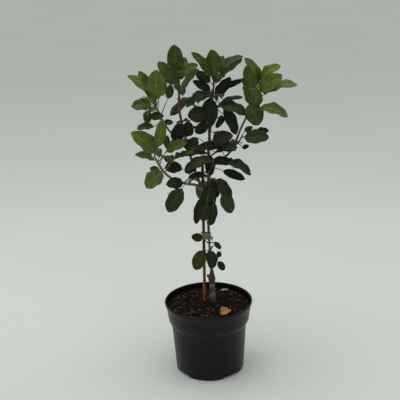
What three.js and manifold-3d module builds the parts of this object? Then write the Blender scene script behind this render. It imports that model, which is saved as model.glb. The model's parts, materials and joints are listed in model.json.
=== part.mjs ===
// A young grafted apple tree in a round nursery pot: pot, root ball, cane, soft tie, grafted
// trunk, and leafy shoots that are each one grown piece. Millimetres, +Z up, the origin at the
// middle of the pot's flat underside.
import * as THREE from "three";
import { mergeVertices } from "three/addons/utils/BufferGeometryUtils.js";
import Module from "manifold-3d";

const wasm = await Module();
wasm.setup();

// ---- Driving dimensions ----
const GAP = 0.35; // clearance kept between pieces that touch
const CUT_PAST = 20; // how far a cutting shape runs out past what it cuts

const POT_HEIGHT = 158.5;
const POT_LIP_RADIUS = 95;
const POT_LIP_HEIGHT = 5;
const POT_LIP_OVERHANG = 1.9; // how far the lip stands out past the collar
const POT_LIP_ROUNDING = 1;
const POT_COLLAR_HEIGHT = 42; // from the lip's top down to the shoulder
const POT_COLLAR_TAPER = 5.2; // how much narrower the collar is at its foot
const POT_SHOULDER_STEP = 6; // how far the wall steps in under the collar
const POT_SHOULDER_DROP = 7;
const POT_BODY_TAPER = 7.4; // how much narrower the body is at its foot
const POT_FOOT_ROUNDING = 5;
const POT_WALL = 1.8;
const POT_FLOOR = 2.8;
const POT_SIDES = 48;

const DRAIN_COUNT = 4; // notches cut through the corner between wall and floor
const DRAIN_WIDTH = 31;
const DRAIN_SLANT = 9; // how far each side of a notch slopes out on its way down
const DRAIN_HEIGHT = 7;
const DRAIN_DEPTH = 13;
const DRAIN_START_DEGREES = -54;

const SOIL_BELOW_LIP = 12;
const SOIL_MOUND = 3;
const SOIL_RINGS = 5;
const SOIL_FOOT_ROUNDING = 1.3;

// The plant's heights, in this list and in the tables below, suit soil whose top is this high.
// Trunk, cane, tie, shoots and litter are lifted together when the pot's soil is higher or lower.
const PLANTING_HEIGHT = 149.5;

const CANE_RADIUS = 3.4;
const CANE_SIDES = 12;
const CANE_FOOT_ABOVE_FLOOR = 30;
const CANE_TOP = [-4.6, 12, 470];
const CANE_AT_SOIL = [-8, 13];

const ROOTSTOCK_RADIUS = 6;
const GRAFT_RADIUS = 8.2;
const GRAFT_HEIGHT = 205;
const STEM_RADIUS = 2.6;
const ROOT_DEPTH = 28; // how far the root crown goes down into the soil

const TIE_HEIGHT = 303;
const TIE_WIDTH = 14;
const TIE_THICKNESS = 1.3;
const TIE_SLACK = 0.65; // between the band and what it goes round
const TIE_KNOT_RADIUS = 3;
const TIE_KNOT_RISE = 1.3; // the knot's height, as a share of its width

const BLADE_THICKNESS = 1.1;
const PETIOLE_RADIUS = 0.95;
const STALK_END = 0.12; // how far up the blade a stalk runs, as a share of the blade
const STALK_BEND = 0.55; // where along it a stalk rises most
const STALK_SPRING = 0.06; // how far a stalk rises over its straight line, as a share of it

// ---- Helpers for solids ----
const vec = (p) => new THREE.Vector3(p[0], p[1], p[2]);

// A closed mesh as a manifold solid.
function solid(geometry) {
  const bare = geometry.clone();
  bare.deleteAttribute("normal");
  bare.deleteAttribute("uv");
  const merged = mergeVertices(bare, 1e-4);
  return new wasm.Manifold(
    new wasm.Mesh({
      numProp: 3,
      vertProperties: merged.attributes.position.array,
      triVerts: new Uint32Array(merged.index.array),
    }),
  );
}

// A manifold solid as a geometry, with flat faces.
function geometryOf(made) {
  const mesh = made.getMesh();
  const geometry = new THREE.BufferGeometry();
  geometry.setAttribute("position", new THREE.BufferAttribute(mesh.vertProperties, 3));
  geometry.setIndex(new THREE.BufferAttribute(mesh.triVerts, 1));
  return geometry;
}

const root = new THREE.Group();
const plant = new THREE.Group();
root.add(plant);

function addPiece(group, name, geometry, colour, roughness) {
  geometry.computeVertexNormals();
  const material = new THREE.MeshStandardMaterial({ color: colour, roughness, metalness: 0 });
  const mesh = new THREE.Mesh(geometry, material);
  mesh.name = name;
  group.add(mesh);
}

// A round profile turned about a vertical axis; the profile is [radius, height] from the
// bottom of the axis to its top.
function turned(profile, sides) {
  const points = profile.map(([radius, height]) => new THREE.Vector2(radius, height));
  const geometry = new THREE.LatheGeometry(points, sides);
  return geometry.rotateX(Math.PI / 2);
}

// A rod of even thickness along a smooth curve through the points.
function rod(points, radius, steps, sides) {
  const corners = [];
  for (let i = 0; i < sides; i++) {
    const turn = (2 * Math.PI * i) / sides;
    corners.push(new THREE.Vector2(radius * Math.cos(turn), radius * Math.sin(turn)));
  }
  const path = new THREE.CatmullRomCurve3(points.map(vec));
  return new THREE.ExtrudeGeometry(new THREE.Shape(corners), { steps, extrudePath: path });
}

// Wood that swells and tapers: rings round a curve, each point being [x, y, z, radius].
function wood(points, steps, sides) {
  const path = new THREE.CatmullRomCurve3(points.map(vec));
  const girth = new THREE.CatmullRomCurve3(
    points.map((p, i) => new THREE.Vector3(i / (points.length - 1), p[3], 0)),
  );
  const rings = [];
  for (let i = 0; i <= steps; i++) {
    const centre = path.getPoint(i / steps);
    const radius = girth.getPoint(i / steps).y;
    const along = path.getTangent(i / steps);
    const across = new THREE.Vector3(0, 1, 0).cross(along).normalize();
    const back = along.clone().cross(across);
    const ring = [];
    for (let j = 0; j < sides; j++) {
      const turn = (2 * Math.PI * j) / sides;
      const out = across.clone().multiplyScalar(Math.cos(turn) * radius);
      out.addScaledVector(back, Math.sin(turn) * radius);
      ring.push(centre.clone().add(out));
    }
    rings.push(ring);
  }
  const vertices = rings.flat();
  const foot = vertices.push(path.getPoint(0)) - 1;
  const top = vertices.push(path.getPoint(1)) - 1;
  const faces = [];
  for (let j = 0; j < sides; j++) {
    const next = (j + 1) % sides;
    for (let i = 0; i < steps; i++) {
      const low = i * sides;
      const high = low + sides;
      faces.push(low + j, low + next, high + next, low + j, high + next, high + j);
    }
    faces.push(foot, next, j, top, steps * sides + j, steps * sides + next);
  }
  return new THREE.BufferGeometry().setFromPoints(vertices).setIndex(faces);
}

// ---- Pot ----
const collarFootZ = POT_HEIGHT - POT_COLLAR_HEIGHT;
const shoulderZ = collarFootZ - POT_SHOULDER_DROP;
const collarTopRadius = POT_LIP_RADIUS - POT_LIP_OVERHANG;
const collarFootRadius = collarTopRadius - POT_COLLAR_TAPER;
const bodyTopRadius = collarFootRadius - POT_SHOULDER_STEP;
const footRadius = bodyTopRadius - POT_BODY_TAPER;
const lipFootZ = POT_HEIGHT - POT_LIP_HEIGHT;

// The inner wall from the floor's edge up to the mouth, [radius, height].
const innerWall = [
  [footRadius - POT_WALL, POT_FLOOR],
  [bodyTopRadius - POT_WALL, shoulderZ],
  [collarFootRadius - POT_WALL, collarFootZ],
  [collarTopRadius - POT_WALL, POT_HEIGHT],
];

// The inner wall's radius at a height.
function innerRadius(height) {
  let next = innerWall.findIndex((point) => point[1] >= height);
  next = Math.max(next, 1);
  const [lowRadius, lowZ] = innerWall[next - 1];
  const [highRadius, highZ] = innerWall[next];
  return lowRadius + ((highRadius - lowRadius) * (height - lowZ)) / (highZ - lowZ);
}

// What one notch takes away, on the +X side: a low wedge with sloping sides.
function drainNotch() {
  const top = DRAIN_WIDTH / 2;
  const foot = top + DRAIN_SLANT;
  const outline = new THREE.Shape();
  outline.moveTo(-foot, -CUT_PAST).lineTo(foot, -CUT_PAST).lineTo(foot, 0);
  outline.lineTo(top, DRAIN_HEIGHT).lineTo(-top, DRAIN_HEIGHT).lineTo(-foot, 0);
  const depth = DRAIN_DEPTH + CUT_PAST;
  const notch = new THREE.ExtrudeGeometry(outline, { depth, bevelEnabled: false });
  notch.rotateX(Math.PI / 2).translate(0, DRAIN_DEPTH - footRadius, 0);
  return notch.rotateZ(Math.PI / 2);
}

function makePot() {
  const footBend = POT_FOOT_ROUNDING * (1 - Math.SQRT1_2);
  const profile = [
    [0, 0],
    [footRadius - POT_FOOT_ROUNDING, 0],
    [footRadius - footBend, footBend],
    [footRadius, POT_FOOT_ROUNDING],
    [bodyTopRadius, shoulderZ],
    [collarFootRadius, collarFootZ],
    [collarTopRadius, lipFootZ],
    [POT_LIP_RADIUS, lipFootZ + POT_LIP_ROUNDING],
    [POT_LIP_RADIUS, POT_HEIGHT - POT_LIP_ROUNDING],
    [POT_LIP_RADIUS - POT_LIP_ROUNDING, POT_HEIGHT],
    ...innerWall.slice().reverse(),
    [0, POT_FLOOR],
  ];
  let pot = solid(turned(profile, POT_SIDES));
  for (let i = 0; i < DRAIN_COUNT; i++) {
    const notch = drainNotch();
    notch.rotateZ(THREE.MathUtils.degToRad(DRAIN_START_DEGREES + (360 * i) / DRAIN_COUNT));
    pot = pot.subtract(solid(notch));
  }
  return geometryOf(pot);
}
addPiece(root, "pot", makePot(), 0x1f2321, 0.45);

// ---- Cane ----
const soilEdgeZ = POT_HEIGHT - SOIL_BELOW_LIP;
const soilTopZ = soilEdgeZ + SOIL_MOUND;
plant.position.z = soilTopZ - PLANTING_HEIGHT;
const caneFootZ = POT_FLOOR + CANE_FOOT_ABOVE_FLOOR - plant.position.z;
const caneTop = vec(CANE_TOP);
const caneAtSoil = new THREE.Vector3(CANE_AT_SOIL[0], CANE_AT_SOIL[1], PLANTING_HEIGHT);
const caneLean = caneTop.clone().sub(caneAtSoil);
caneLean.divideScalar(caneLean.z);

// The cane's middle at a height.
function caneAt(height) {
  return caneAtSoil.clone().addScaledVector(caneLean, height - caneAtSoil.z);
}
const caneEnds = [caneAt(caneFootZ).toArray(), CANE_TOP];
addPiece(plant, "cane", rod(caneEnds, CANE_RADIUS, 1, CANE_SIDES), 0x9a5a2c, 0.6);

// ---- Trunk: rootstock, graft union and stem, grown together ----
// Points up its middle, [x, y, z, radius].
const rootZ = PLANTING_HEIGHT - SOIL_MOUND - ROOT_DEPTH;
const TRUNK = [
  [9, 8, rootZ, ROOTSTOCK_RADIUS * 1.2],
  [9, 8, PLANTING_HEIGHT, ROOTSTOCK_RADIUS * 1.15],
  [9.4, 8, GRAFT_HEIGHT - 32, ROOTSTOCK_RADIUS],
  [9, 8, GRAFT_HEIGHT - 12, ROOTSTOCK_RADIUS],
  [8.6, 8, GRAFT_HEIGHT, GRAFT_RADIUS],
  [9, 8, GRAFT_HEIGHT + 10, GRAFT_RADIUS * 0.62],
  [8.6, 8, GRAFT_HEIGHT + 22, STEM_RADIUS * 1.15],
  [5.8, 7.6, 270, STEM_RADIUS],
  [4.6, 7.2, 304, STEM_RADIUS],
  [4.2, 7, 340, STEM_RADIUS],
  [5.5, 6, 400, STEM_RADIUS],
  [7.5, 4.5, 455, STEM_RADIUS],
  [10.5, 2.5, 510, STEM_RADIUS * 0.92],
  [15.5, 0.5, 562, STEM_RADIUS * 0.85],
  [19.5, -1, 604, STEM_RADIUS * 0.75],
];

// The trunk at a height: its middle, the way it runs there, and its radius.
function trunkAt(height) {
  const i = TRUNK.findIndex((point) => point[2] > height);
  const [low, high] = [TRUNK[i - 1], TRUNK[i]];
  const share = (height - low[2]) / (high[2] - low[2]);
  return {
    middle: vec(low).lerp(vec(high), share),
    along: vec(high).sub(vec(low)).normalize(),
    radius: low[3] + share * (high[3] - low[3]),
  };
}

// The stump of the rootstock, cut off beside the graft, and the stub of a pruned twig.
const SNAG = [
  [8.6, 7.5, GRAFT_HEIGHT + 2, GRAFT_RADIUS * 0.45],
  [1.5, 6.5, GRAFT_HEIGHT + 6, GRAFT_RADIUS * 0.4],
  [-1.2, 6, GRAFT_HEIGHT + 8, GRAFT_RADIUS * 0.3],
];
const STUB = [
  [5.6, 7.6, 273, 1.6],
  [10.6, 5.6, 278, 1.6],
  [13.6, 4.6, 281, 1.2],
];

function makeTrunk() {
  const stem = solid(wood(TRUNK, 30, 8));
  const snag = solid(wood(SNAG, 4, 7));
  const stub = solid(wood(STUB, 3, 6));
  return geometryOf(stem.add(snag).add(stub));
}
addPiece(plant, "trunk", makeTrunk(), 0x6b4a35, 0.8);

// ---- Soil and roots, with the sockets that the trunk and the cane stand in ----
function makeSoil() {
  const floorZ = POT_FLOOR + GAP;
  const profile = [
    [0, floorZ],
    [innerRadius(floorZ) - GAP - SOIL_FOOT_ROUNDING, floorZ],
    [innerRadius(shoulderZ) - GAP, shoulderZ],
    [innerRadius(collarFootZ) - GAP, collarFootZ],
    [innerRadius(soilEdgeZ) - GAP, soilEdgeZ],
  ];
  for (let i = SOIL_RINGS - 1; i >= 0; i--) {
    const share = i / SOIL_RINGS;
    const rise = SOIL_MOUND * Math.cos((share * Math.PI) / 2);
    profile.push([(innerRadius(soilEdgeZ) - GAP) * share, soilEdgeZ + rise]);
  }
  const [x, y, , rootRadius] = TRUNK[0];
  const socketTop = PLANTING_HEIGHT + CUT_PAST;
  const rootHole = [[x, y, rootZ - GAP], [x, y, socketTop]];
  const caneHole = [caneAt(caneFootZ - GAP).toArray(), caneAt(socketTop).toArray()];
  const socketRadius = (rootRadius + GAP) / Math.cos(Math.PI / CANE_SIDES);
  const rootSocket = rod(rootHole, socketRadius, 1, CANE_SIDES);
  const caneSocket = rod(caneHole, CANE_RADIUS + GAP, 1, CANE_SIDES);
  const soil = solid(turned(profile, POT_SIDES));
  const sockets = solid(rootSocket).add(solid(caneSocket)).translate(0, 0, plant.position.z);
  return geometryOf(soil.subtract(sockets));
}
addPiece(root, "soil", makeSoil(), 0x3a241b, 1);

// ---- Tie: a soft band round cane and stem, knotted beside the stem ----
function makeTie() {
  const cane = caneAt(TIE_HEIGHT);
  const { middle: stem, radius } = trunkAt(TIE_HEIGHT);
  const turn = Math.atan2(stem.y - cane.y, stem.x - cane.x);
  const span = Math.hypot(stem.x - cane.x, stem.y - cane.y);
  const loop = (shape, clearance) => {
    shape.absarc(0, 0, CANE_RADIUS + clearance, Math.PI / 2, (3 * Math.PI) / 2);
    shape.absarc(span, 0, radius + clearance, -Math.PI / 2, Math.PI / 2);
    return shape;
  };
  const outline = loop(new THREE.Shape(), TIE_SLACK + TIE_THICKNESS);
  outline.holes.push(loop(new THREE.Path(), TIE_SLACK));
  const band = new THREE.ExtrudeGeometry(outline, {
    depth: TIE_WIDTH,
    bevelEnabled: false,
    curveSegments: 7,
  });
  band.translate(0, 0, -TIE_WIDTH / 2);
  const knot = new THREE.SphereGeometry(TIE_KNOT_RADIUS, 8, 6);
  knot.scale(1, 1, TIE_KNOT_RISE);
  const bandEnd = span + radius + TIE_SLACK + TIE_THICKNESS;
  knot.translate(bandEnd + TIE_KNOT_RADIUS * 0.6, -1, -TIE_WIDTH / 4);
  const made = solid(band).add(solid(knot));
  const geometry = geometryOf(made);
  return geometry.rotateZ(turn).translate(cane.x, cane.y, TIE_HEIGHT);
}
addPiece(plant, "tie", makeTie(), 0x6f7358, 0.7);

// ---- Leaves ----
// An apple blade's half width along its length, as a share of the widest.
const BLADE_OUTLINE = [
  [0.09, 0.55],
  [0.33, 1],
  [0.63, 0.95],
  [0.88, 0.5],
];

// A leaf's own frame: a function that gives the point at a share of the way from base to tip,
// so far across the midrib and so far over it. The face vector says which way the upper side
// looks, and the arch how far the middle rises over the line from base to tip, as a share of it.
function leafFrame(base, tip, face, arch) {
  const start = vec(base);
  const chord = vec(tip).sub(start);
  const length = chord.length();
  const along = chord.clone().normalize();
  const up = vec(face);
  up.addScaledVector(along, -up.dot(along)).normalize();
  const side = along.clone().cross(up);
  return (share, across, over) => {
    const rise = arch * length * 4 * share * (1 - share) + over;
    const point = start.clone().addScaledVector(chord, share);
    return point.addScaledVector(side, across).addScaledVector(up, rise);
  };
}

// One blade: a thin closed lens about its midrib, its halves folded up by an angle in radians.
function blade(at, width, fold) {
  const vertices = [at(0, 0, 0), at(1, 0, 0)];
  for (const [share, halfWidth] of BLADE_OUTLINE) {
    const reach = (halfWidth * width) / 2;
    const across = reach * Math.cos(fold);
    const lift = reach * Math.sin(fold);
    vertices.push(at(share, -across, lift), at(share, 0, BLADE_THICKNESS / 2));
    vertices.push(at(share, across, lift), at(share, 0, -BLADE_THICKNESS / 2));
  }
  const faces = [];
  const last = 2 + 4 * (BLADE_OUTLINE.length - 1);
  for (let k = 0; k < 4; k++) {
    const next = (k + 1) % 4;
    faces.push(0, 2 + next, 2 + k, 1, last + k, last + next);
    for (let ring = 2; ring < last; ring += 4) {
      faces.push(ring + k, ring + next, ring + 4 + next);
      faces.push(ring + k, ring + 4 + next, ring + 4 + k);
    }
  }
  return new THREE.BufferGeometry().setFromPoints(vertices).setIndex(faces);
}

// A leaf stalk: it leaves the twig at a point and runs on into the blade along its midrib.
function stalk(at, from) {
  const into = at(STALK_END, 0, 0);
  const middle = from.clone().lerp(into, STALK_BEND);
  middle.z += STALK_SPRING * from.distanceTo(into);
  return rod([from.toArray(), middle.toArray(), into.toArray()], PETIOLE_RADIUS, 2, 3);
}

// Where a twig starts that grows out of other wood: just off that wood, on the side of the
// twig's next point, far enough out for the whole end of the twig to clear it.
function off(wood) {
  return (next, radius) => {
    const way = vec(next).sub(wood.middle).normalize();
    const slant = way.dot(wood.along);
    const out = way.addScaledVector(wood.along, -slant);
    out.setLength(wood.radius + GAP + radius * Math.abs(slant));
    return wood.middle.clone().add(out).toArray();
  };
}

// Where the topmost twig starts: just over the end of the trunk.
function onTop() {
  const [x, y, height] = TRUNK.at(-1);
  return [x, y, height + 3 * GAP];
}

// One grown shoot: a twig with its leaves. Each leaf is [share of the twig that its stalk
// leaves at, base, tip, width, face, arch, fold].
function shoot(name, start, points, radius, leaves, colour) {
  const twig = [start(points[0], radius), ...points];
  const path = new THREE.CatmullRomCurve3(twig.map(vec));
  let made = solid(rod(twig, radius, Math.ceil(twig.length * 1.5), 5));
  for (const [share, base, tip, width, face, arch, fold] of leaves) {
    const from = path.getPoint(share);
    const at = leafFrame(base, tip, face, arch);
    made = made.add(solid(stalk(at, from)));
    made = made.add(solid(blade(at, width, fold)));
  }
  addPiece(plant, name, geometryOf(made), colour, 0.55);
  return (share) => ({ middle: path.getPoint(share), along: path.getTangent(share), radius });
}

shoot(
  "shoot_top",
  onTop,
  [[21.5, -3, 622], [22, -6, 646]],
  1.6,
  [
    [0.9, [17, -14, 646], [-20, -29, 697], 21, [-0.1, -0.9, 0.7], 0.12, 0.3],
    [1.0, [26, -12, 648], [22, -27, 700], 30, [0.1, -1, 0.1], -0.05, 0.25],
    [0.9, [34, -14, 650], [79, -30, 687], 22, [0, -0.6, 1], 0.14, 0.25],
    [0.8, [36, -6, 645], [79, -12, 680], 21, [-0.3, 1, 0.4], 0.06, 0.2],
    [0.1, [38, 4, 613], [81, 0, 634], 18, [0, -1, 0.3], 0.08, 0.2],
    [0.3, [25, -16, 613], [55, -24, 645], 25, [0.4, -1, 0.1], 0.06, 0.2],
    [0.6, [14, -14, 634], [-11, -22, 661], 24, [-0.5, -1, 0], 0.05, 0.2],
    [0.4, [15, -8, 618], [-20, -22, 640], 18, [-0.3, -0.9, 0.4], 0.08, 0.2],
    [0.8, [16, 8, 648], [-4, 34, 676], 26, [0, 0.8, 0.6], 0.1, 0.25],
    [0.9, [28, 8, 650], [44, 30, 680], 26, [0.2, 1, 0.3], 0.1, 0.25],
    [0.5, [26, 10, 628], [40, 52, 640], 28, [0.2, 0.2, 1], 0.14, 0.25],
  ],
  0x5f7533,
);

const leftLeader = shoot(
  "shoot_left_leader",
  off(trunkAt(401)),
  [[-12, 0, 425], [-28, -6, 480], [-41, -12, 540], [-48, -15, 583],
   [-47, -17, 622], [-50, -19, 652]],
  2.4,
  [
    [1.0, [-51, -22, 658], [-53, -28, 712], 34, [0, -1, 0.1], -0.04, 0.3],
    [0.95, [-54, -28, 636], [-85, -38, 681], 29, [-0.1, -1, 0.6], 0.1, 0.2],
    [0.9, [-49, -30, 621], [-50, -36, 665], 15, [0.1, -1, -0.1], -0.08, -0.7],
    [0.97, [-45, -26, 645], [-9, -34, 674], 26, [0.1, -0.7, 0.8], 0.12, 0.25],
    [0.9, [-42, -30, 621], [-8, -38, 668], 18, [-0.4, 0.8, 0.5], 0.08, 0.2],
    [0.72, [-67, -4, 568], [-31, 5, 600], 19, [-0.3, -1, 0.3], 0.06, 0.2],
    [0.36, [-58, -42, 524], [-44, -50, 562], 28, [0.1, -1, 0.3], 0.08, 0.2],
    [0.45, [-34, -30, 530], [-30, -38, 563], 26, [0, -1, 0.3], 0.06, 0.2],
    [0.93, [-52, 0, 640], [-74, 22, 662], 26, [-0.2, 0.8, 0.6], 0.1, 0.25],
    [0.96, [-44, 0, 648], [-34, 26, 680], 25, [0.2, 1, 0.3], 0.1, 0.25],
    [0.8, [-40, 6, 606], [-62, 44, 622], 28, [0.1, 0.2, 1], 0.12, 0.25],
  ],
  0x5c7033,
);

shoot(
  "shoot_left_fan",
  off(leftLeader(0.42)),
  [[-52, -24, 524], [-70, -31, 545], [-85, -36, 572], [-93, -39, 592]],
  1.6,
  [
    [1.0, [-98, -42, 606], [-144, -58, 660], 27, [0.6, -0.9, 0.9], 0.2, 0.2],
    [0.97, [-98, -30, 612], [-122, -38, 665], 24, [0.3, -1, 0.4], 0.08, 0.2],
    [1.0, [-90, -50, 616], [-88, -72, 671], 43, [0, -1, 0.4], 0.08, 0.2],
    [0.9, [-85, -38, 618], [-77, -46, 655], 21, [0.3, -1, 0.3], 0.08, 0.2],
    [0.75, [-69, -27, 607], [-63, -24, 635], 17, [0.2, -1, 0.3], 0.05, 0.2],
    [0.95, [-101, -50, 601], [-139, -64, 600], 27, [0, -1, 0.7], 0.1, 0.2],
    [0.85, [-84, -50, 584], [-112, -58, 582], 15, [0, -0.5, 1], 0.4, 0.2],
    [0.85, [-108, -42, 589], [-110, -50, 563], 18, [-0.3, -1, 0], 0.06, 0.2],
    [0.7, [-105, -54, 578], [-77, -60, 579], 17, [0, -1, 0.4], 0.08, 0.2],
    [0.65, [-99, -44, 556], [-131, -58, 556], 18, [-0.1, -0.8, 0.8], 0.12, 0.25],
    [0.5, [-79, -44, 564], [-60, -46, 563], 12, [0, -1, 0.5], 0.06, 0.2],
    [1.0, [-88, -26, 606], [-84, 8, 636], 30, [0, 0.6, 0.8], 0.12, 0.25],
    [0.9, [-97, -28, 596], [-116, 4, 606], 27, [-0.2, 0.3, 1], 0.14, 0.25],
  ],
  0x5c6f36,
);

shoot(
  "shoot_left_low",
  off(trunkAt(392)),
  [[-15, -10, 421], [-40, -22, 432], [-62, -32, 446], [-80, -40, 465],
   [-90, -44, 482], [-98, -46, 496]],
  1.9,
  [
    [1.0, [-103, -50, 502], [-142, -77, 549], 36, [0, -1, 0.7], 0.08, 0.4],
    [1.0, [-92, -60, 518], [-79, -72, 577], 24, [0.2, -1, 0.2], 0.05, 0.35],
    [0.9, [-100, -40, 486], [-138, -56, 503], 19, [0, -0.7, 1], 0.1, 0.2],
    [0.85, [-76, -38, 507], [-80, -42, 533], 13, [-1, -0.7, 0], 0.06, 0.2],
    [0.8, [-76, -54, 508], [-35, -66, 527], 25, [0, -0.9, 0.8], 0.1, 0.25],
    [0.65, [-66, -60, 494], [-31, -70, 506], 21, [0, -0.8, 1], 0.1, 0.25],
    [0.75, [-93, -32, 462], [-111, -38, 469], 15, [-0.1, -0.9, 0.5], 0.06, 0.2],
    [0.75, [-85, -56, 466], [-111, -74, 434], 36, [-0.3, -1, 0.4], 0.12, 0.2],
    [0.85, [-92, -20, 486], [-114, 14, 500], 28, [0, 0.2, 1], 0.14, 0.25],
    [0.7, [-70, -14, 470], [-86, 22, 478], 28, [0, 0.2, 1], 0.14, 0.25],
  ],
  0x58702c,
);

shoot(
  "shoot_left_droop",
  off(trunkAt(413)),
  [[-10, -14, 430], [-26, -32, 442], [-34, -42, 446]],
  1.5,
  [
    [1.0, [-46, -52, 428], [-74, -64, 382], 34, [-0.3, -1, 0.3], 0.1, 0.2],
    [0.9, [-45, -36, 436], [-79, -46, 437], 25, [0, -0.9, 0.5], 0.08, 0.2],
    [0.6, [-46, -12, 458], [-82, -2, 462], 26, [0, -0.9, 0.6], 0.1, 0.25],
    [0.5, [-18, -38, 478], [-40, -48, 460], 22, [0, -1, 0.4], 0.08, 0.2],
  ],
  0x465a33,
);

const rightLeader = shoot(
  "shoot_right_leader",
  off(trunkAt(456.4)),
  [[30, -6, 473], [47, -16, 487], [60, -24, 508], [72, -30, 540],
   [84, -33, 566], [96, -36, 592]],
  2,
  [
    [1.0, [101, -40, 626], [81, -50, 687], 27, [0.7, -0.9, 0.4], 0.2, 0.2],
    [1.0, [94, -56, 627], [83, -72, 675], 22, [-0.3, -1, 0.3], -0.04, 0.2],
    [1.0, [111, -42, 640], [149, -58, 671], 27, [-0.1, -0.9, 0.9], 0.14, 0.2],
    [1.0, [110, -48, 622], [151, -72, 655], 32, [0.2, -1, 0.5], 0.08, 0.25],
    [0.98, [118, -42, 612], [182, -60, 633], 27, [-0.1, -0.7, 1], 0.2, 0.2],
    [0.95, [101, -50, 592], [103, -64, 628], 27, [0, -1, 0.3], 0.08, 0.2],
    [0.9, [93, -32, 591], [85, -36, 629], 16, [-0.7, -0.8, 0], 0.06, 0.2],
    [0.93, [89, -24, 627], [75, -22, 642], 13, [0.2, -1, 0.3], 0.06, 0.2],
    [0.85, [110, -44, 583], [163, -66, 571], 27, [0.1, -0.9, 1], 0.16, 0.2],
    [0.8, [92, -42, 591], [107, -56, 556], 34, [0.2, -1, 0.1], 0.08, 0.2],
    [0.95, [104, -22, 604], [124, 14, 622], 28, [0.2, 0.4, 1], 0.14, 0.25],
    [0.9, [94, -18, 600], [92, 20, 622], 28, [0, 0.5, 1], 0.12, 0.25],
  ],
  0x566a30,
);

shoot(
  "shoot_right_side",
  off(rightLeader(0.51)),
  [[70, -38, 520], [74, -44, 530]],
  1.4,
  [
    [1.0, [79, -54, 530], [126, -68, 533], 30, [0, -1, 0.5], 0.05, 0.25],
    [0.8, [102, -34, 536], [129, -38, 539], 15, [0, -0.8, 0.6], 0.1, 0.25],
    [1.0, [80, -44, 541], [96, -48, 550], 12, [0, -1, 0.3], 0.06, 0.2],
    [0.3, [76, -34, 504], [89, -38, 510], 10, [0, -1, 0.6], 0.06, 0.2],
  ],
  0x3e5230,
);

shoot(
  "spur_front_high",
  off(trunkAt(560)),
  [[12, -12, 570], [12, -20, 582]],
  1.4,
  [
    [1.0, [21, -28, 608], [-34, -46, 594], 31, [0, -0.5, 1], 0.22, 0.2],
    [0.9, [6, -34, 579], [-31, -48, 577], 30, [0, -1, 0.3], 0.08, 0.2],
    [1.0, [12, -22, 606], [7, -30, 548], 31, [0.1, -1, 0], 0.06, 0.2],
    [0.6, [6, -38, 556], [-18, -46, 542], 23, [0, -1, 0.2], 0.06, 0.2],
  ],
  0x384426,
);

shoot(
  "spur_right_high",
  off(trunkAt(574)),
  [[24, -14, 582], [28, -22, 588]],
  1.4,
  [
    [1.0, [28, -30, 596], [78, -42, 616], 15, [0, -0.6, 1], 0.12, 0.2],
    [1.0, [30, -36, 593], [87, -48, 574], 28, [0.1, -0.8, 0.8], 0.12, 0.25],
    [0.8, [42, -26, 586], [64, -38, 533], 25, [0.3, -1, 0.1], 0.06, 0.2],
    [0.5, [42, -22, 568], [24, -30, 546], 14, [-0.3, -1, 0.2], 0.06, 0.2],
  ],
  0x37432a,
);

shoot(
  "spur_front_middle",
  off(trunkAt(488)),
  [[8, -16, 498], [8, -30, 510]],
  1.4,
  [
    [1.0, [16, -40, 523], [56, -54, 536], 29, [0, -1, 0.5], 0.08, 0.2],
    [1.0, [34, -50, 514], [64, -62, 512], 19, [0.1, -1, 0.3], 0.08, 0.2],
    [0.9, [3, -50, 508], [-30, -64, 514], 15, [0, -0.8, 0.7], 0.1, 0.2],
    [0.9, [-12, -40, 529], [-39, -48, 510], 20, [0, -1, 0.3], 0.06, 0.2],
    [0.7, [36, -34, 512], [-14, -44, 511], 20, [0, -1, 0.4], 0.08, 0.2],
    [0.9, [5, -32, 496], [-52, -42, 492], 19, [0, -0.7, 1], 0.12, 0.2],
    [0.6, [20, -40, 499], [62, -56, 506], 18, [0, -0.6, 1], 0.12, 0.2],
  ],
  0x38442c,
);

shoot(
  "spur_front_low",
  off(trunkAt(440)),
  [[8, -14, 452], [14, -30, 466], [18, -40, 474]],
  1.5,
  [
    [1.0, [17, -52, 486], [-38, -72, 471], 26, [0, -0.8, 1], 0.18, 0.2],
    [0.6, [16, -30, 480], [56, -42, 476], 20, [0, -0.9, 0.5], 0.08, 0.2],
    [0.3, [11, -22, 488], [10, -28, 446], 22, [0, -1, 0.1], 0.04, 0.2],
    [0.8, [42, -42, 477], [88, -62, 455], 25, [0.2, -0.7, 0.8], 0.2, 0.25],
    [0.6, [36, -34, 458], [80, -48, 443], 19, [0, -0.9, 0.5], 0.1, 0.2],
    [0.5, [5, -58, 454], [-34, -76, 458], 17, [0, -0.6, 1], 0.1, 0.25],
  ],
  0x45582e,
);

shoot(
  "spur_droop",
  off(trunkAt(414)),
  [[9, -14, 420], [11, -26, 424]],
  1.5,
  [
    [0.9, [27, -26, 440], [51, -38, 391], 27, [0.3, -1, 0.2], 0.08, 0.2],
    [0.5, [13, -30, 438], [24, -36, 402], 19, [0.2, -1, 0.1], 0.06, 0.2],
    [1.0, [33, -50, 412], [51, -62, 377], 29, [0.2, -1, 0.3], 0.08, 0.25],
    [1.0, [9, -36, 428], [3, -48, 378], 34, [0, -1, 0.2], 0.08, 0.2],
    [0.8, [-8, -38, 404], [-22, -50, 351], 20, [-0.4, -1, 0.1], 0.08, 0.2],
    [0.9, [1, -58, 398], [-8, -66, 362], 24, [0, -1, 0.3], 0.08, 0.2],
    [0.8, [16, -52, 398], [8, -60, 350], 20, [0.2, -1, 0.1], 0.08, 0.2],
  ],
  0x415634,
);

shoot(
  "stem_leaf_left",
  off(trunkAt(289)),
  [[0, 0, 292], [-3, -5, 298]],
  1.1,
  [[1.0, [-9, -8, 304], [-32, -14, 311], 19, [0, -1, 0.3], 0.05, 0.2]],
  0x4a5f38,
);

shoot(
  "stem_leaf_right",
  off(trunkAt(288)),
  [[10, 1, 290], [12, -3, 292]],
  1.1,
  [[1.0, [15, -6, 294], [29, -10, 279], 15, [0.2, -1, 0.3], 0.05, 0.2]],
  0x4a5f38,
);

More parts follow.
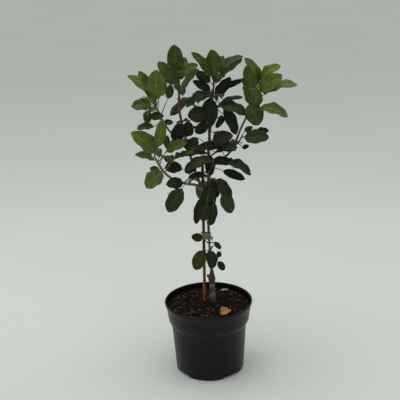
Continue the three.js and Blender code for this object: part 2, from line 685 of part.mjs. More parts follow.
shoot(
  "stem_shoot_front",
  off(trunkAt(256)),
  [[4, -4, 266], [2, -10, 276]],
  1.2,
  [
    [1.0, [-4, -14, 279], [-27, -24, 239], 30, [-0.3, -1, 0.2], 0.1, 0.25],
    [0.9, [7, -18, 280], [9, -28, 242], 20, [0.3, -1, 0.1], 0.1, 0.25],
  ],
  0x4c6540,
);

shoot(
  "stem_shoot_right",
  off(trunkAt(242)),
  [[16, 0, 248], [22, -4, 254]],
  1.1,
  [
    [1.0, [24, -5, 258], [25, -8, 274], 12, [0.2, -1, 0.2], 0.05, 0.2],
    [0.8, [23, -8, 250], [35, -14, 232], 16, [0.2, -1, 0.2], 0.08, 0.2],
  ],
  0x4c6540,
);

shoot(
  "back_shoot_left_high",
  off(trunkAt(542)),
  [[-2, 24, 556], [-14, 44, 568]],
  1.6,
  [
    [1.0, [-20, 52, 576], [-52, 84, 584], 31, [0, 0.3, 1], 0.12, 0.25],
    [1.0, [-10, 54, 580], [2, 94, 600], 31, [0, 0.5, 1], 0.12, 0.25],
    [0.9, [-28, 40, 546], [-60, 54, 532], 28, [-0.2, 0.2, 1], 0.12, 0.25],
    [0.7, [-14, 28, 575], [-44, 40, 596], 28, [-0.4, 0.4, 1], 0.1, 0.25],
    [0.8, [-4, 48, 562], [14, 84, 552], 28, [0.2, 0.3, 1], 0.14, 0.25],
  ],
  0x45572f,
);

// This one passes over the end of the cane.
const overCane = CANE_TOP[2] + 14;
shoot(
  "back_shoot_left_low",
  off(trunkAt(overCane)),
  [[-10, 26, overCane], [-28, 42, 482]],
  1.6,
  [
    [1.0, [-36, 48, 486], [-70, 76, 494], 31, [0, 0.3, 1], 0.12, 0.25],
    [1.0, [-26, 52, 486], [-22, 92, 480], 30, [0, 0.3, 1], 0.14, 0.25],
    [0.9, [-38, 36, 476], [-72, 42, 456], 28, [-0.3, 0, 1], 0.14, 0.25],
    [0.7, [-24, 30, 486], [-48, 44, 508], 26, [-0.4, 0.3, 1], 0.1, 0.25],
  ],
  0x3f512f,
);

shoot(
  "back_shoot_middle",
  off(trunkAt(516)),
  [[10, 28, 526], [8, 48, 534]],
  1.6,
  [
    [1.0, [6, 58, 540], [-16, 96, 542], 31, [-0.2, 0.4, 1], 0.12, 0.25],
    [1.0, [14, 58, 540], [42, 90, 536], 31, [0.2, 0.4, 1], 0.14, 0.25],
    [0.8, [0, 46, 526], [-34, 62, 518], 28, [-0.2, 0.2, 1], 0.14, 0.25],
    [0.8, [20, 46, 518], [52, 60, 502], 28, [0.2, 0.2, 1], 0.12, 0.25],
  ],
  0x3d4f2e,
);

shoot(
  "back_shoot_right_high",
  off(trunkAt(568)),
  [[32, 22, 578], [46, 40, 586]],
  1.6,
  [
    [1.0, [38, 50, 590], [18, 88, 596], 31, [0, 0.4, 1], 0.12, 0.25],
    [0.9, [66, 36, 566], [102, 46, 552], 28, [0.2, 0.1, 1], 0.1, 0.25],
    [0.7, [28, 30, 588], [8, 56, 604], 28, [0, 0.6, 1], 0.1, 0.25],
    [0.8, [42, 26, 568], [66, 22, 546], 24, [0.3, -0.2, 1], 0.1, 0.25],
  ],
  0x45572f,
);

shoot(
  "back_shoot_right_low",
  off(trunkAt(478)),
  [[24, 22, 482], [40, 36, 484]],
  1.6,
  [
    [1.0, [48, 42, 488], [80, 66, 490], 30, [0.2, 0.3, 1], 0.14, 0.25],
    [1.0, [40, 46, 488], [34, 86, 486], 30, [0, 0.4, 1], 0.12, 0.25],
    [0.9, [44, 30, 464], [74, 26, 446], 25, [0.3, 0, 1], 0.12, 0.25],
  ],
  0x3f512f,
);

shoot(
  "back_shoot_low",
  off(trunkAt(424)),
  [[6, 28, 430], [8, 44, 432]],
  1.6,
  [
    [1.0, [4, 52, 430], [-14, 84, 406], 31, [-0.2, 0.4, 1], 0.12, 0.25],
    [1.0, [14, 50, 416], [38, 72, 392], 30, [0.2, 0.4, 1], 0.12, 0.25],
    [0.8, [-2, 42, 426], [-36, 54, 404], 29, [-0.3, 0.2, 1], 0.12, 0.25],
    [0.8, [12, 40, 422], [18, 52, 378], 28, [0.2, 1, 0.2], 0.1, 0.25],
    [0.5, [-2, 30, 420], [-12, 36, 376], 27, [-0.3, 1, 0.2], 0.1, 0.25],
  ],
  0x43572f,
);

// ---- What has fallen on the soil ----
// A point over the mound, at a share of the way from its middle to the wall and a bearing.
function overSoil(share, degrees, lift) {
  const fromMiddle = share * (innerRadius(soilEdgeZ) - GAP);
  const bearing = THREE.MathUtils.degToRad(degrees);
  const rise = SOIL_MOUND * Math.cos((share * Math.PI) / 2) - SOIL_MOUND;
  const height = PLANTING_HEIGHT + rise + lift;
  return new THREE.Vector3(
    fromMiddle * Math.cos(bearing),
    fromMiddle * Math.sin(bearing),
    height,
  );
}

// A dry leaf lies on the mound with its edges curled up: where its middle is, as [share,
// degrees], its length and width, the way it points, its fold and its colour.
const DRY_LEAVES = {
  front: [[0.65, -57], 32, 22, 54, 0.35, 0xa0693a],
  back: [[0.83, 60], 19, 7, 15, 0.3, 0xb59a63],
};
const DRY_LEAF_ARCH = 0.05;
const DRY_LEAF_LIFT = 3;
for (const [place, [spot, length, width, turn, fold, colour]] of Object.entries(DRY_LEAVES)) {
  const middle = overSoil(...spot, DRY_LEAF_LIFT);
  const half = new THREE.Vector3(length / 2, 0, 0);
  half.applyAxisAngle(new THREE.Vector3(0, 0, 1), THREE.MathUtils.degToRad(turn));
  const base = middle.clone().sub(half).toArray();
  const tip = middle.clone().add(half).toArray();
  const leaf = blade(leafFrame(base, tip, [0, 0, 1], DRY_LEAF_ARCH), width, fold);
  addPiece(plant, `dry_leaf_${place}`, geometryOf(solid(leaf)), colour, 0.9);
}

// Flat pieces of bark, pointed at both ends: [share, degrees, length, width, turn in degrees].
const BARK_CHIPS = [
  [0.735, 200, 16, 8, 23],
  [0.733, 232, 14, 7, 120],
  [0.754, 258, 17, 8, 69],
  [0.5, 280, 13, 7, 160],
  [0.743, 7, 15, 8, 52],
  [0.733, 38, 14, 7, 109],
  [0.73, 117, 16, 7, 11],
  [0.834, 160, 13, 7, 86],
];
const CHIP_THICKNESS = 3;
const CHIP_LIFT = 0.85; // clearance over the soil
const CHIP_POINT = 0.35; // how much narrower a chip is at its ends
for (const [i, [share, degrees, length, width, turn]] of BARK_CHIPS.entries()) {
  const chip = new THREE.BoxGeometry(length, width, CHIP_THICKNESS, 2, 1, 1);
  const corner = chip.attributes.position;
  for (let k = 0; k < corner.count; k++) {
    const end = Math.abs(corner.getX(k)) / (length / 2);
    corner.setY(k, corner.getY(k) * (1 - CHIP_POINT * end));
  }
  const middle = overSoil(share, degrees, CHIP_LIFT + CHIP_THICKNESS / 2);
  chip.rotateZ(THREE.MathUtils.degToRad(turn)).translate(...middle.toArray());
  addPiece(plant, `bark_chip_${i + 1}`, geometryOf(solid(chip)), 0x7a4a33, 0.95);
}

export default root;
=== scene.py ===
# A young grafted apple tree in a black nursery pot, tied to a bamboo cane. The file goes up the
# object as it is put together: pot, potting mix, cane, trunk, tie, leafy shoots, litter. Sizes
# are in millimetres where they repeat the CAD's own, and are turned to metres by MM.
import functools
import json
import math

import bpy
import numpy as np
from mathutils import Matrix, Vector

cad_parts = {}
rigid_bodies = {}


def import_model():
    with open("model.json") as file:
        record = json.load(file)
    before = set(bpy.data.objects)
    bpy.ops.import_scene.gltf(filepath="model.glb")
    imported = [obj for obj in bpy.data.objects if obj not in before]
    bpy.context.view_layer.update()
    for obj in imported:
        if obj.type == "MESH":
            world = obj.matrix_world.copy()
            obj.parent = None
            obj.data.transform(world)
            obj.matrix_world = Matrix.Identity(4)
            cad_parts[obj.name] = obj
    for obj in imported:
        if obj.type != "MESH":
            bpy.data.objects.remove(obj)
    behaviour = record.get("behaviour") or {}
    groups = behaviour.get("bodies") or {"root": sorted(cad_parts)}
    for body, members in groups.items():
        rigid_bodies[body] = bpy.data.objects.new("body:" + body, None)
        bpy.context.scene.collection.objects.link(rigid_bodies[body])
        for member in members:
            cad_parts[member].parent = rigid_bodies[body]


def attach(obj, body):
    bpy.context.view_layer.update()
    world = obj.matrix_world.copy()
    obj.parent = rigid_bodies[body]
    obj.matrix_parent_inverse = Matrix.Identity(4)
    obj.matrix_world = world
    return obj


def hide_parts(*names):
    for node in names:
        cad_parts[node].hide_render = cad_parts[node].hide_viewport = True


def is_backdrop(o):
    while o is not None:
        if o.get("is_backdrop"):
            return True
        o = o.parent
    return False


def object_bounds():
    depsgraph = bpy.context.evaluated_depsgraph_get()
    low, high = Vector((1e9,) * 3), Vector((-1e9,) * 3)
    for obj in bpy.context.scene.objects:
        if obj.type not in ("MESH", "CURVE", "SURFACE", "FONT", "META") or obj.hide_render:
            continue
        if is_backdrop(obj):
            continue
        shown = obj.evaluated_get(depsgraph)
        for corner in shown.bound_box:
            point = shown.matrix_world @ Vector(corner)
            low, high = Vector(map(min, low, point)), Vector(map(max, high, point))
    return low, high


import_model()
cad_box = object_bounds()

# ---- Pot --------------------------------------------------------------------------------------
# A round nursery pot moulded in one thin wall of black plastic, with a rolled lip, a stepped
# collar and four drain notches at the foot. It is satin, with soil dust where it has been wet.
MM = 0.001
POT_HEIGHT = 158.5
POT_FLOOR = 2.8
POT_FOOT_RADIUS = 74.5
POT_SIDES = 160
POT_INSIDE = [(72.7, POT_FLOOR), (80.1, 109.5), (86.1, 116.5), (91.3, POT_HEIGHT - 1.2)]
POT_OUTSIDE = [
    (0, 0), (40, 0.3), (69.5, 0), (72.4, 0.5), (74.1, 2.2), (POT_FOOT_RADIUS, 5),
    (78.2, 58), (81.4, 105.5), (82.1, 108.8), (83.9, 111.6), (86.6, 114.4), (87.7, 117.2),
    (89.9, 134), (92.7, 152), (93.6, 153.3), (94.7, 153.9), (95, 155), (95, 157.2),
    (94.4, 158.2), (93.4, POT_HEIGHT), (92.2, POT_HEIGHT - 0.3),
]
DRAIN_BEARINGS = (-54, 36, 126, 216)
DRAIN_TOP_HALF, DRAIN_FOOT_HALF, DRAIN_HEIGHT, DRAIN_DEPTH = 15.5, 24.5, 7, 13
WEDGE_BELOW, WEDGE_REACH = -9, 90
POT_BLACK = 0x080A09
POT_SCUFF = 0x191B1A
POT_DUST = 0x2C2620


def linear(code):
    """A colour written 0xRRGGBB, as the light values that a shader takes."""
    parts = [(code >> shift & 255) / 255 for shift in (16, 8, 0)]
    return (*(p / 12.92 if p < 0.0405 else ((p + 0.055) / 1.055) ** 2.4 for p in parts), 1.0)


class Flow:
    """A value on its way through a node tree; arithmetic on it adds the nodes for the sum."""

    def __init__(self, tree, socket):
        self.tree, self.socket = tree, socket

    def then(self, operation, *others):
        wide = any(isinstance(f, Flow) and f.socket.type == "VECTOR" for f in (self, *others))
        node = self.tree.nodes.new("ShaderNodeVectorMath" if wide else "ShaderNodeMath")
        node.operation = operation
        for socket, feed in zip([s for s in node.inputs if s.enabled], (self, *others)):
            plug(self.tree, socket, feed)
        return Flow(self.tree, next(s for s in node.outputs if s.enabled))

    def __add__(self, other):
        return self.then("ADD", other)

    def __sub__(self, other):
        return self.then("SUBTRACT", other)

    def __mul__(self, other):
        other_wide = isinstance(other, Flow) and other.socket.type == "VECTOR"
        if self.socket.type == "VECTOR" and not other_wide:
            return self.then("SCALE", other)
        return other * self if other_wide and self.socket.type != "VECTOR" else self.then(
            "MULTIPLY", other
        )

    def __rsub__(self, other):
        return self * -1.0 + other

    __radd__, __rmul__ = __add__, __mul__


def plug(tree, socket, feed):
    """Feeds an input with a flow, or with a plain value."""
    if isinstance(feed, Flow):
        tree.links.new(feed.socket, socket)
    else:
        socket.default_value = feed


def node(tree, kind, feeds=(), out=0, **settings):
    """Adds a node, feeds its inputs by name, and gives one of its outputs as a flow."""
    added = tree.nodes.new(kind)
    for setting, value in settings.items():
        setattr(added, setting, value)
    for name, feed in dict(feeds).items():
        plug(tree, next(s for s in added.inputs if s.enabled and s.name == name), feed)
    return Flow(tree, [s for s in added.outputs if s.enabled][out])


def between(tree, share, first, second):
    """A colour that runs from the first to the second as the share goes from 0 to 1."""
    feeds = {"Factor": share, "A": first, "B": second}
    return node(tree, "ShaderNodeMix", feeds, data_type="RGBA", clamp_factor=True)


def ramp(tree, value, start, end):
    """How far a value has come from start to end, kept between 0 and 1, eased at both ends."""
    feeds = {"Value": value, "From Min": start, "From Max": end}
    return node(tree, "ShaderNodeMapRange", feeds, interpolation_type="SMOOTHSTEP")


def grain(tree, where, scale, detail=4.0, stretch=None):
    """Soft noise over an object's own coordinates, from 0 to 1."""
    if stretch is not None:
        where = where.then("MULTIPLY", stretch)
    return node(tree, "ShaderNodeTexNoise", {"Vector": where, "Scale": scale, "Detail": detail})


def finish(name, **plain):
    """A new material: its tree, its shader's inputs, and its object coordinates. The plain
    values go straight on the shader's sockets."""
    material = bpy.data.materials.new(name)
    material.use_nodes = True
    tree = material.node_tree
    shader = tree.nodes["Principled BSDF"]
    for socket, value in plain.items():
        shader.inputs[socket.replace("_", " ")].default_value = value
    where = node(tree, "ShaderNodeTexCoord", out=3)
    return material, tree, shader.inputs, where


def relief(tree, shader, height, depth):
    """Lifts the surface's shading by a height flow, depth metres at 1."""
    feeds = {"Height": height, "Distance": depth, "Strength": 1.0}
    plug(tree, shader["Normal"], node(tree, "ShaderNodeBump", feeds))


def turned(profile, sides):
    """The corners and faces of a profile, [radius, height] from axis to axis, turned round Z."""
    corners, faces, rings = [], [], []
    for radius, height in profile:
        count = sides if radius > 0 else 1
        rings.append(range(len(corners), len(corners) + count))
        for i in range(count):
            turn = 2 * math.pi * i / sides
            corners.append((radius * math.cos(turn), radius * math.sin(turn), height))
    for low, high in zip(rings, rings[1:]):
        for i in range(sides):
            corner = [low[i % len(low)], low[(i + 1) % len(low)]]
            corner += [high[(i + 1) % len(high)], high[i % len(high)]]
            faces.append(list(dict.fromkeys(corner)))
    return corners, faces


def mesh_of(name, corners, faces, edges=(), scale=MM):
    mesh = bpy.data.meshes.new(name)
    mesh.from_pydata([Vector(c) * scale for c in corners], list(edges), faces)
    mesh.update()
    return mesh


def stand(name, mesh, material=None, smooth=40):
    """Puts a mesh in the scene as a piece, smooth but for edges sharper than an angle."""
    if material is not None:
        mesh.materials.append(material)
    mesh.shade_smooth()
    mesh.set_sharp_from_angle(angle=math.radians(smooth))
    piece = bpy.data.objects.new(name, mesh)
    bpy.context.scene.collection.objects.link(piece)
    return piece


def settle(piece):
    """Turns a piece and its modifiers into a plain mesh."""
    seen = piece.evaluated_get(bpy.context.evaluated_depsgraph_get())
    made = bpy.data.meshes.new_from_object(seen)
    piece.modifiers.clear()
    piece.data = made


def placed(piece, slot, *nodes):
    """Puts a finished piece on the root body and hides the CAD nodes it stands for; its slot is not used.
    """
    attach(piece, "root")
    if nodes:
        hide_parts(*nodes)


def black_plastic():
    material, tree, shader, where = finish("black_plastic", Specular_IOR_Level=0.22)
    height = node(tree, "ShaderNodeSeparateXYZ", {"Vector": where}, out=2)
    cloud = grain(tree, where, 26.0)
    scratch = grain(tree, where, 320.0, 3.0, (1.0, 1.0, 0.12))
    scuffed = ramp(tree, scratch * 0.6 + cloud * 0.6, 0.62, 0.86)
    colour = between(tree, scuffed * 0.55, linear(POT_BLACK), linear(POT_SCUFF))
    splash = ramp(tree, grain(tree, where, 95.0, 6.0), 0.5, 0.78)
    near_foot = ramp(tree, height, 0.022, 0.0)
    near_lip = ramp(tree, height, 0.118, 0.156)
    dusty = splash * (near_foot * 0.7 + near_lip * 0.22 + 0.05)
    plug(tree, shader["Base Color"], between(tree, dusty, colour, linear(POT_DUST)))
    plug(tree, shader["Roughness"], scuffed * 0.18 + dusty * 0.35 + cloud * 0.1 + 0.3)
    relief(tree, shader, scratch * 0.25 + grain(tree, where, 900.0, 2.0), 0.00006)
    return material


corners, faces = turned(POT_OUTSIDE + POT_INSIDE[::-1] + [(0, POT_FLOOR)], POT_SIDES)
pot = stand("nursery_pot", mesh_of("nursery_pot", corners, faces), black_plastic(), 32)
wedge = [(-DRAIN_FOOT_HALF, WEDGE_BELOW), (DRAIN_FOOT_HALF, WEDGE_BELOW), (DRAIN_FOOT_HALF, 0)]
wedge += [(DRAIN_TOP_HALF, DRAIN_HEIGHT), (-DRAIN_TOP_HALF, DRAIN_HEIGHT), (-DRAIN_FOOT_HALF, 0)]
for bearing in DRAIN_BEARINGS:
    reaches = (POT_FOOT_RADIUS - DRAIN_DEPTH, WEDGE_REACH)
    corners = [(r, across, z) for r in reaches for across, z in wedge]
    faces = [range(5, -1, -1), range(6, 12)]
    faces += [(i, (i + 1) % 6, 6 + (i + 1) % 6, 6 + i) for i in range(6)]
    mesh = mesh_of("drain_wedge", corners, faces)
    mesh.transform(Matrix.Rotation(math.radians(bearing), 4, "Z"))
    cutter = bpy.data.objects.new("drain_wedge", mesh)
    cut = pot.modifiers.new("drain", "BOOLEAN")
    cut.object, cut.operation, cut.solver = cutter, "DIFFERENCE", "EXACT"
    bpy.context.scene.collection.objects.link(cutter)
settle(pot)
for cutter in [o for o in bpy.data.objects if o.name.startswith("drain_wedge")]:
    bpy.data.objects.remove(cutter)
placed(pot, "pot_plastic", "pot")

# ---- Potting mix ------------------------------------------------------------------------------
# The root ball fills the pot to 12 mm under the lip: dark, moist peat and composted bark. Its
# top is crumbly, with loose crumbs, reddish bark shreds and paler dry fibres lying on it.
MIX_EDGE = 146.5
MIX_MOUND = 3
MIX_RADIUS = 89.4
BARE_RIM = 3.5
MIX_RINGS = 46
MIX_SIDES = 150
MIX_PROFILE = [(0, 3.2), (70.9, 3.2), (79.7, 109.5), (85.6, 116.5)]
PEAT = [0x0A0503, 0x160C08, 0x26140D]
SHRED = [0x160A06, 0x321A10, 0x7A6557, 0x24100A]
LOOSE = {
    "Crumbs": 80000.0, "Crumb size": 1.5 * MM, "Shreds": 9000.0, "Shred length": 7.5 * MM,
    "Fibres": 9000.0, "Lumpiness": 4.2 * MM,
}


def geometry_tree(name, sizes, *materials):
    """A new node tree for geometry, with its sizes and materials as named inputs. Gives the
    tree, its inputs as flows, and the socket that takes the result."""
    tree = bpy.data.node_groups.new(name, "GeometryNodeTree")
    face = tree.interface
    face.new_socket("Geometry", in_out="INPUT", socket_type="NodeSocketGeometry")
    for label, value in sizes.items():
        socket = face.new_socket(label, in_out="INPUT", socket_type="NodeSocketFloat")
        socket.default_value = value
    for label in materials:
        face.new_socket(label, in_out="INPUT", socket_type="NodeSocketMaterial")
    face.new_socket("Geometry", in_out="OUTPUT", socket_type="NodeSocketGeometry")
    entry = tree.nodes.new("NodeGroupInput")
    given = {s.name: Flow(tree, s) for s in entry.outputs if s.name}
    return tree, given, tree.nodes.new("NodeGroupOutput").inputs[0]


def grown(name, mesh, tree, values):
    """A piece made by running a mesh through a geometry tree with the values given."""
    piece = bpy.data.objects.new(name, mesh)
    bpy.context.scene.collection.objects.link(piece)
    modifier = piece.modifiers.new(tree.name, "NODES")
    modifier.node_group = tree
    for item in tree.interface.items_tree:
        if item.item_type == "SOCKET" and item.in_out == "INPUT" and item.name in values:
            modifier[item.identifier] = values[item.name]
    settle(piece)
    return piece


def keep(tree, geometry, name, value, kind="FLOAT", domain="POINT"):
    """Keeps a value on the geometry under a name, for later nodes and for the material."""
    feeds = {"Geometry": geometry, "Name": name, "Value": value}
    return node(tree, "GeometryNodeStoreNamedAttribute", feeds, data_type=kind, domain=domain)


def kept(tree, name, kind="FLOAT"):
    return node(tree, "GeometryNodeInputNamedAttribute", {"Name": name}, data_type=kind)


def random_value(tree, low, high, seed, kind="FLOAT"):
    feeds = {"Min": low, "Max": high, "Seed": seed}
    return node(tree, "FunctionNodeRandomValue", feeds, data_type=kind)


def joined(tree, *geometries):
    join = tree.nodes.new("GeometryNodeJoinGeometry")
    for geometry in reversed(geometries):
        tree.links.new(geometry.socket, join.inputs[0])
    return Flow(tree, join.outputs[0])


def surfaced(tree, geometry, material, smooth=True):
    feeds = {"Geometry": geometry, "Shade Smooth": smooth}
    shaded = node(tree, "GeometryNodeSetShadeSmooth", feeds)
    return node(tree, "GeometryNodeSetMaterial", {"Geometry": shaded, "Material": material})


def strewn(tree, ground, density, seed, bit, least, most, tilt):
    """Bits strewn over the upward ground, each with its own size, turn, tilt and shade."""
    where = node(tree, "GeometryNodeInputPosition")
    x, y = (node(tree, "ShaderNodeSeparateXYZ", {"Vector": where}, out=i) for i in (0, 1))
    inside = (x * x + y * y).then("LESS_THAN", ((MIX_RADIUS - BARE_RIM) * MM) ** 2)
    up = node(tree, "ShaderNodeSeparateXYZ", {"Vector": node(tree, "GeometryNodeInputNormal")}, 2)
    here = inside * up.then("GREATER_THAN", 0.3)
    feeds = {"Mesh": ground, "Density": density, "Selection": here, "Seed": seed}
    points = node(tree, "GeometryNodeDistributePointsOnFaces", feeds)
    turn = random_value(tree, (-tilt, -tilt, 0.0), (tilt, tilt, 6.28), seed + 1, "FLOAT_VECTOR")
    size = random_value(tree, least, most, seed + 2, "FLOAT_VECTOR")
    feeds = {"Points": points, "Instance": bit, "Rotation": turn, "Scale": size}
    bits = node(tree, "GeometryNodeInstanceOnPoints", feeds)
    shade = random_value(tree, 0.0, 1.0, seed + 3)
    bits = keep(tree, bits, "shade", shade, domain="INSTANCE")
    return node(tree, "GeometryNodeRealizeInstances", {"Geometry": bits})


def potting_tree():
    tree, given, result = geometry_tree("potting_mix", LOOSE, "Peat", "Shred")
    where = node(tree, "GeometryNodeInputPosition")
    height = node(tree, "ShaderNodeSeparateXYZ", {"Vector": where}, out=2)
    on_top = ramp(tree, height, (MIX_EDGE - 1) * MM, MIX_EDGE * MM)
    lumps = grain(tree, where, 75.0, 5.0) + grain(tree, where, 300.0, 3.0) * 0.35 - 0.7
    lift = node(tree, "ShaderNodeCombineXYZ", {"Z": lumps * given["Lumpiness"] * on_top})
    feeds = {"Geometry": given["Geometry"], "Offset": lift}
    ground = node(tree, "GeometryNodeSetPosition", feeds)
    ball = node(tree, "GeometryNodeMeshIcoSphere", {"Radius": 1.0, "Subdivisions": 1})
    size = given["Crumb size"]
    small = node(tree, "ShaderNodeCombineXYZ", {"X": size * 0.25, "Y": size * 0.25, "Z": size * 0.2})
    large = node(tree, "ShaderNodeCombineXYZ", {"X": size * 1.3, "Y": size * 0.9, "Z": size * 0.7})
    crumbs = strewn(tree, ground, given["Crumbs"], 3, ball, small, large, 0.5)
    block = node(tree, "GeometryNodeMeshCube", {"Size": (1.0, 1.0, 1.0), "Vertices X": 3})
    x = node(tree, "ShaderNodeSeparateXYZ", {"Vector": where}, out=0)
    narrow = node(tree, "ShaderNodeCombineXYZ", {"X": 1.0, "Y": 1.0 - x.then("ABSOLUTE") * 1.3, "Z": 1.0})
    shard = node(tree, "GeometryNodeSetPosition", {"Geometry": block, "Position": where * narrow})
    long = given["Shred length"]
    least = node(tree, "ShaderNodeCombineXYZ", {"X": long * 0.3, "Y": long * 0.12, "Z": long * 0.05})
    most = node(tree, "ShaderNodeCombineXYZ", {"X": long * 1.2, "Y": long * 0.4, "Z": long * 0.16})
    shreds = strewn(tree, ground, given["Shreds"], 11, shard, least, most, 0.45)
    thin = node(tree, "ShaderNodeCombineXYZ", {"X": long * 0.8, "Y": long * 0.03, "Z": long * 0.03})
    thick = node(tree, "ShaderNodeCombineXYZ", {"X": long * 1.8, "Y": long * 0.07, "Z": long * 0.05})
    fibres = strewn(tree, ground, given["Fibres"], 23, shard, thin, thick, 0.3)
    peat = surfaced(tree, joined(tree, ground, crumbs), given["Peat"])
    bark = surfaced(tree, joined(tree, shreds, fibres), given["Shred"], False)
    tree.links.new(joined(tree, peat, bark).socket, result)
    return tree


def mixed_browns(name, browns, roughness, rough_scale, depth):
    """Crumbly brown stuff: each bit has a shade of its own, mottled by fine noise."""
    material, tree, shader, where = finish(name, Roughness=roughness, Specular_IOR_Level=0.12)
    shade = node(tree, "ShaderNodeAttribute", out=2, attribute_name="shade")
    mottle = grain(tree, where, rough_scale, 5.0)
    colour = linear(browns[0])
    for i, brown in enumerate(browns[1:]):
        step = i / (len(browns) - 1)
        share = ramp(tree, shade * 0.7 + mottle * 0.55 - 0.1, step, step + 0.45)
        colour = between(tree, share, colour, linear(brown))
    plug(tree, shader["Base Color"], colour)
    relief(tree, shader, mottle, depth)
    return material


profile = MIX_PROFILE + [(MIX_RADIUS, MIX_EDGE)]
for i in range(MIX_RINGS - 1, -1, -1):
    share = i / MIX_RINGS
    profile.append((MIX_RADIUS * share, MIX_EDGE + MIX_MOUND * math.cos(share * math.pi / 2)))
corners, faces = turned(profile, MIX_SIDES)
materials = {
    "Peat": mixed_browns("peat", PEAT, 0.95, 420.0, 0.0007),
    "Shred": mixed_browns("bark_shreds", SHRED, 0.85, 260.0, 0.0003),
}
mix = grown("potting_mix", mesh_of("potting_mix", corners, faces), potting_tree(), LOOSE | materials)
placed(mix, "potting_mix", "soil")

# ---- Cane -------------------------------------------------------------------------------------
# A straight bamboo cane with raised rings at its joints, pushed down into the mix behind the
# stem. It is orange-brown near the soil and darker towards its top.
CANE_FOOT = (-9.2, 13.4, 33)
CANE_TOP = (-4.6, 12, 470)
CANE_RADIUS = 3.3
CANE_JOINTS = (0.16, 0.38, 0.62, 0.86)
CANE_STEPS = 150
CANE_END_DEPTH = 6
CANE_BROWNS = [0x3A180E, 0x8E4A22, 0xB06A34]
WOOD = {"Sides": 14.0, "Bark depth": 0.1 * MM, "Bark grain": 400.0}


def tubes(tree, lines, sides):
    """Round tubes that follow lines, as thick as the girth that the lines' points carry."""
    lines = node(tree, "GeometryNodeMeshToCurve", {"Mesh": lines})
    circle = {"Resolution": sides, "Radius": 1.0}
    ring = node(tree, "GeometryNodeCurvePrimitiveCircle", circle)
    feeds = {"Curve": lines, "Profile Curve": ring, "Scale": kept(tree, "girth"), "Fill Caps": True}
    return node(tree, "GeometryNodeCurveToMesh", feeds)


def wood_tree():
    """Wood that follows lines: each line's points carry a radius, and its bark is roughened."""
    tree, given, result = geometry_tree("grown_wood", WOOD, "Bark")
    body = tubes(tree, given["Geometry"], given["Sides"])
    where = node(tree, "GeometryNodeInputPosition")
    rough = grain(tree, where, given["Bark grain"], 4.0, (1.0, 1.0, 0.3)) - 0.5
    lift = node(tree, "GeometryNodeInputNormal") * (rough * given["Bark depth"] * 2.0)
    body = node(tree, "GeometryNodeSetPosition", {"Geometry": body, "Offset": lift})
    tree.links.new(surfaced(tree, body, given["Bark"]).socket, result)
    return tree


def lines_mesh(name, lines):
    """Lines as a mesh of edges; each line is points in millimetres, and each point's radius
    and share of the way along are kept on it."""
    corners, edges, girth, along = [], [], [], []
    for points, radii in lines:
        start = len(corners)
        corners += [tuple(p) for p in points]
        edges += [(start + i, start + i + 1) for i in range(len(points) - 1)]
        girth += [r * MM for r in radii]
        along += list(np.linspace(0, 1, len(points)))
    mesh = mesh_of(name, corners, [], edges)
    for label, values in (("girth", girth), ("along", along)):
        mesh.attributes.new(label, "FLOAT", "POINT").data.foreach_set("value", values)
    return mesh


def bamboo():
    material, tree, shader, where = finish("bamboo", Roughness=0.42, Specular_IOR_Level=0.45)
    along = node(tree, "ShaderNodeAttribute", out=2, attribute_name="along")
    streak = grain(tree, where, 330.0, 5.0, (1.0, 1.0, 0.03))
    blotch = grain(tree, where, 38.0, 4.0, (1.0, 1.0, 0.5))
    shade = ramp(tree, along * -1.1 + blotch * 0.7 + streak * 0.35, -0.35, 0.5)
    colour = between(tree, shade, linear(CANE_BROWNS[0]), linear(CANE_BROWNS[1]))
    colour = between(tree, ramp(tree, streak + shade * 0.3, 0.6, 0.95), colour, linear(CANE_BROWNS[2]))
    plug(tree, shader["Base Color"], colour)
    relief(tree, shader, streak, 0.0002)
    return material


foot, top = Vector(CANE_FOOT), Vector(CANE_TOP)
points, radii = [], []
for i in range(CANE_STEPS + 1):
    share = i / CANE_STEPS
    points.append(foot.lerp(top, share))
    swelling = sum(math.exp(-(((share - joint) * 190) ** 2)) for joint in CANE_JOINTS)
    groove = sum(math.exp(-(((share - joint - 0.007) * 420) ** 2)) for joint in CANE_JOINTS)
    radii.append(CANE_RADIUS * (1.06 - 0.12 * share) + 0.55 * swelling - 0.4 * groove)
points += [top, top - Vector((0, 0, CANE_END_DEPTH))]
radii += [CANE_RADIUS * 0.45, CANE_RADIUS * 0.4]
grown_wood = wood_tree()
values = WOOD | {"Sides": 18.0, "Bark depth": 0.08 * MM, "Bark": bamboo()}
cane = grown("bamboo_cane", lines_mesh("bamboo_cane", [(points, radii)]), grown_wood, values)
placed(cane, "cane", "cane")

# ---- Trunk ------------------------------------------------------------------------------------
# One grown stem: a stout rootstock with flaking bark, the swollen graft with the stub it was cut
# back to, and the slim scion above it, which leans and tapers up to the top shoot.
TRUNK = [
    (9, 8, 119, 7.1), (9, 8, 149.5, 6.8), (9.4, 8, 173, 6), (9, 8, 193, 6), (8.6, 8, 205, 8.1),
    (9, 8, 215, 5.1), (8.6, 8, 227, 3.1), (5.8, 7.6, 270, 2.6), (4.6, 7.2, 304, 2.6),
    (4.2, 7, 340, 2.6), (5.5, 6, 400, 2.6), (7.5, 4.5, 455, 2.6), (10.5, 2.5, 510, 2.4),
    (15.5, 0.5, 562, 2.2), (19.5, -1, 604, 1.95),
]
SNAG = [(8.6, 7.5, 205, 4.2), (4, 7, 209, 3.6), (1.5, 6.5, 211, 3.2), (-1, 6, 213, 2.6)]
STUB = [(7, 7.4, 270, 2.0), (10.6, 5.6, 278, 1.7), (13.4, 4.6, 281, 1.2)]
TRUNK_BUDS = ((238, 20), (262, 200), (318, -40), (332, 150), (352, 30), (371, 215), (386, -20))
BARK_LOW, BARK_PEEL = 0x3B3226, 0x8C7C6C
BARK_YOUNG, BARK_TIP = 0x57503A, 0x6C7650
BARK_PALE = 0x8A8868
BUD_SIZE, BUD_SPREAD = 1.9, 0.55


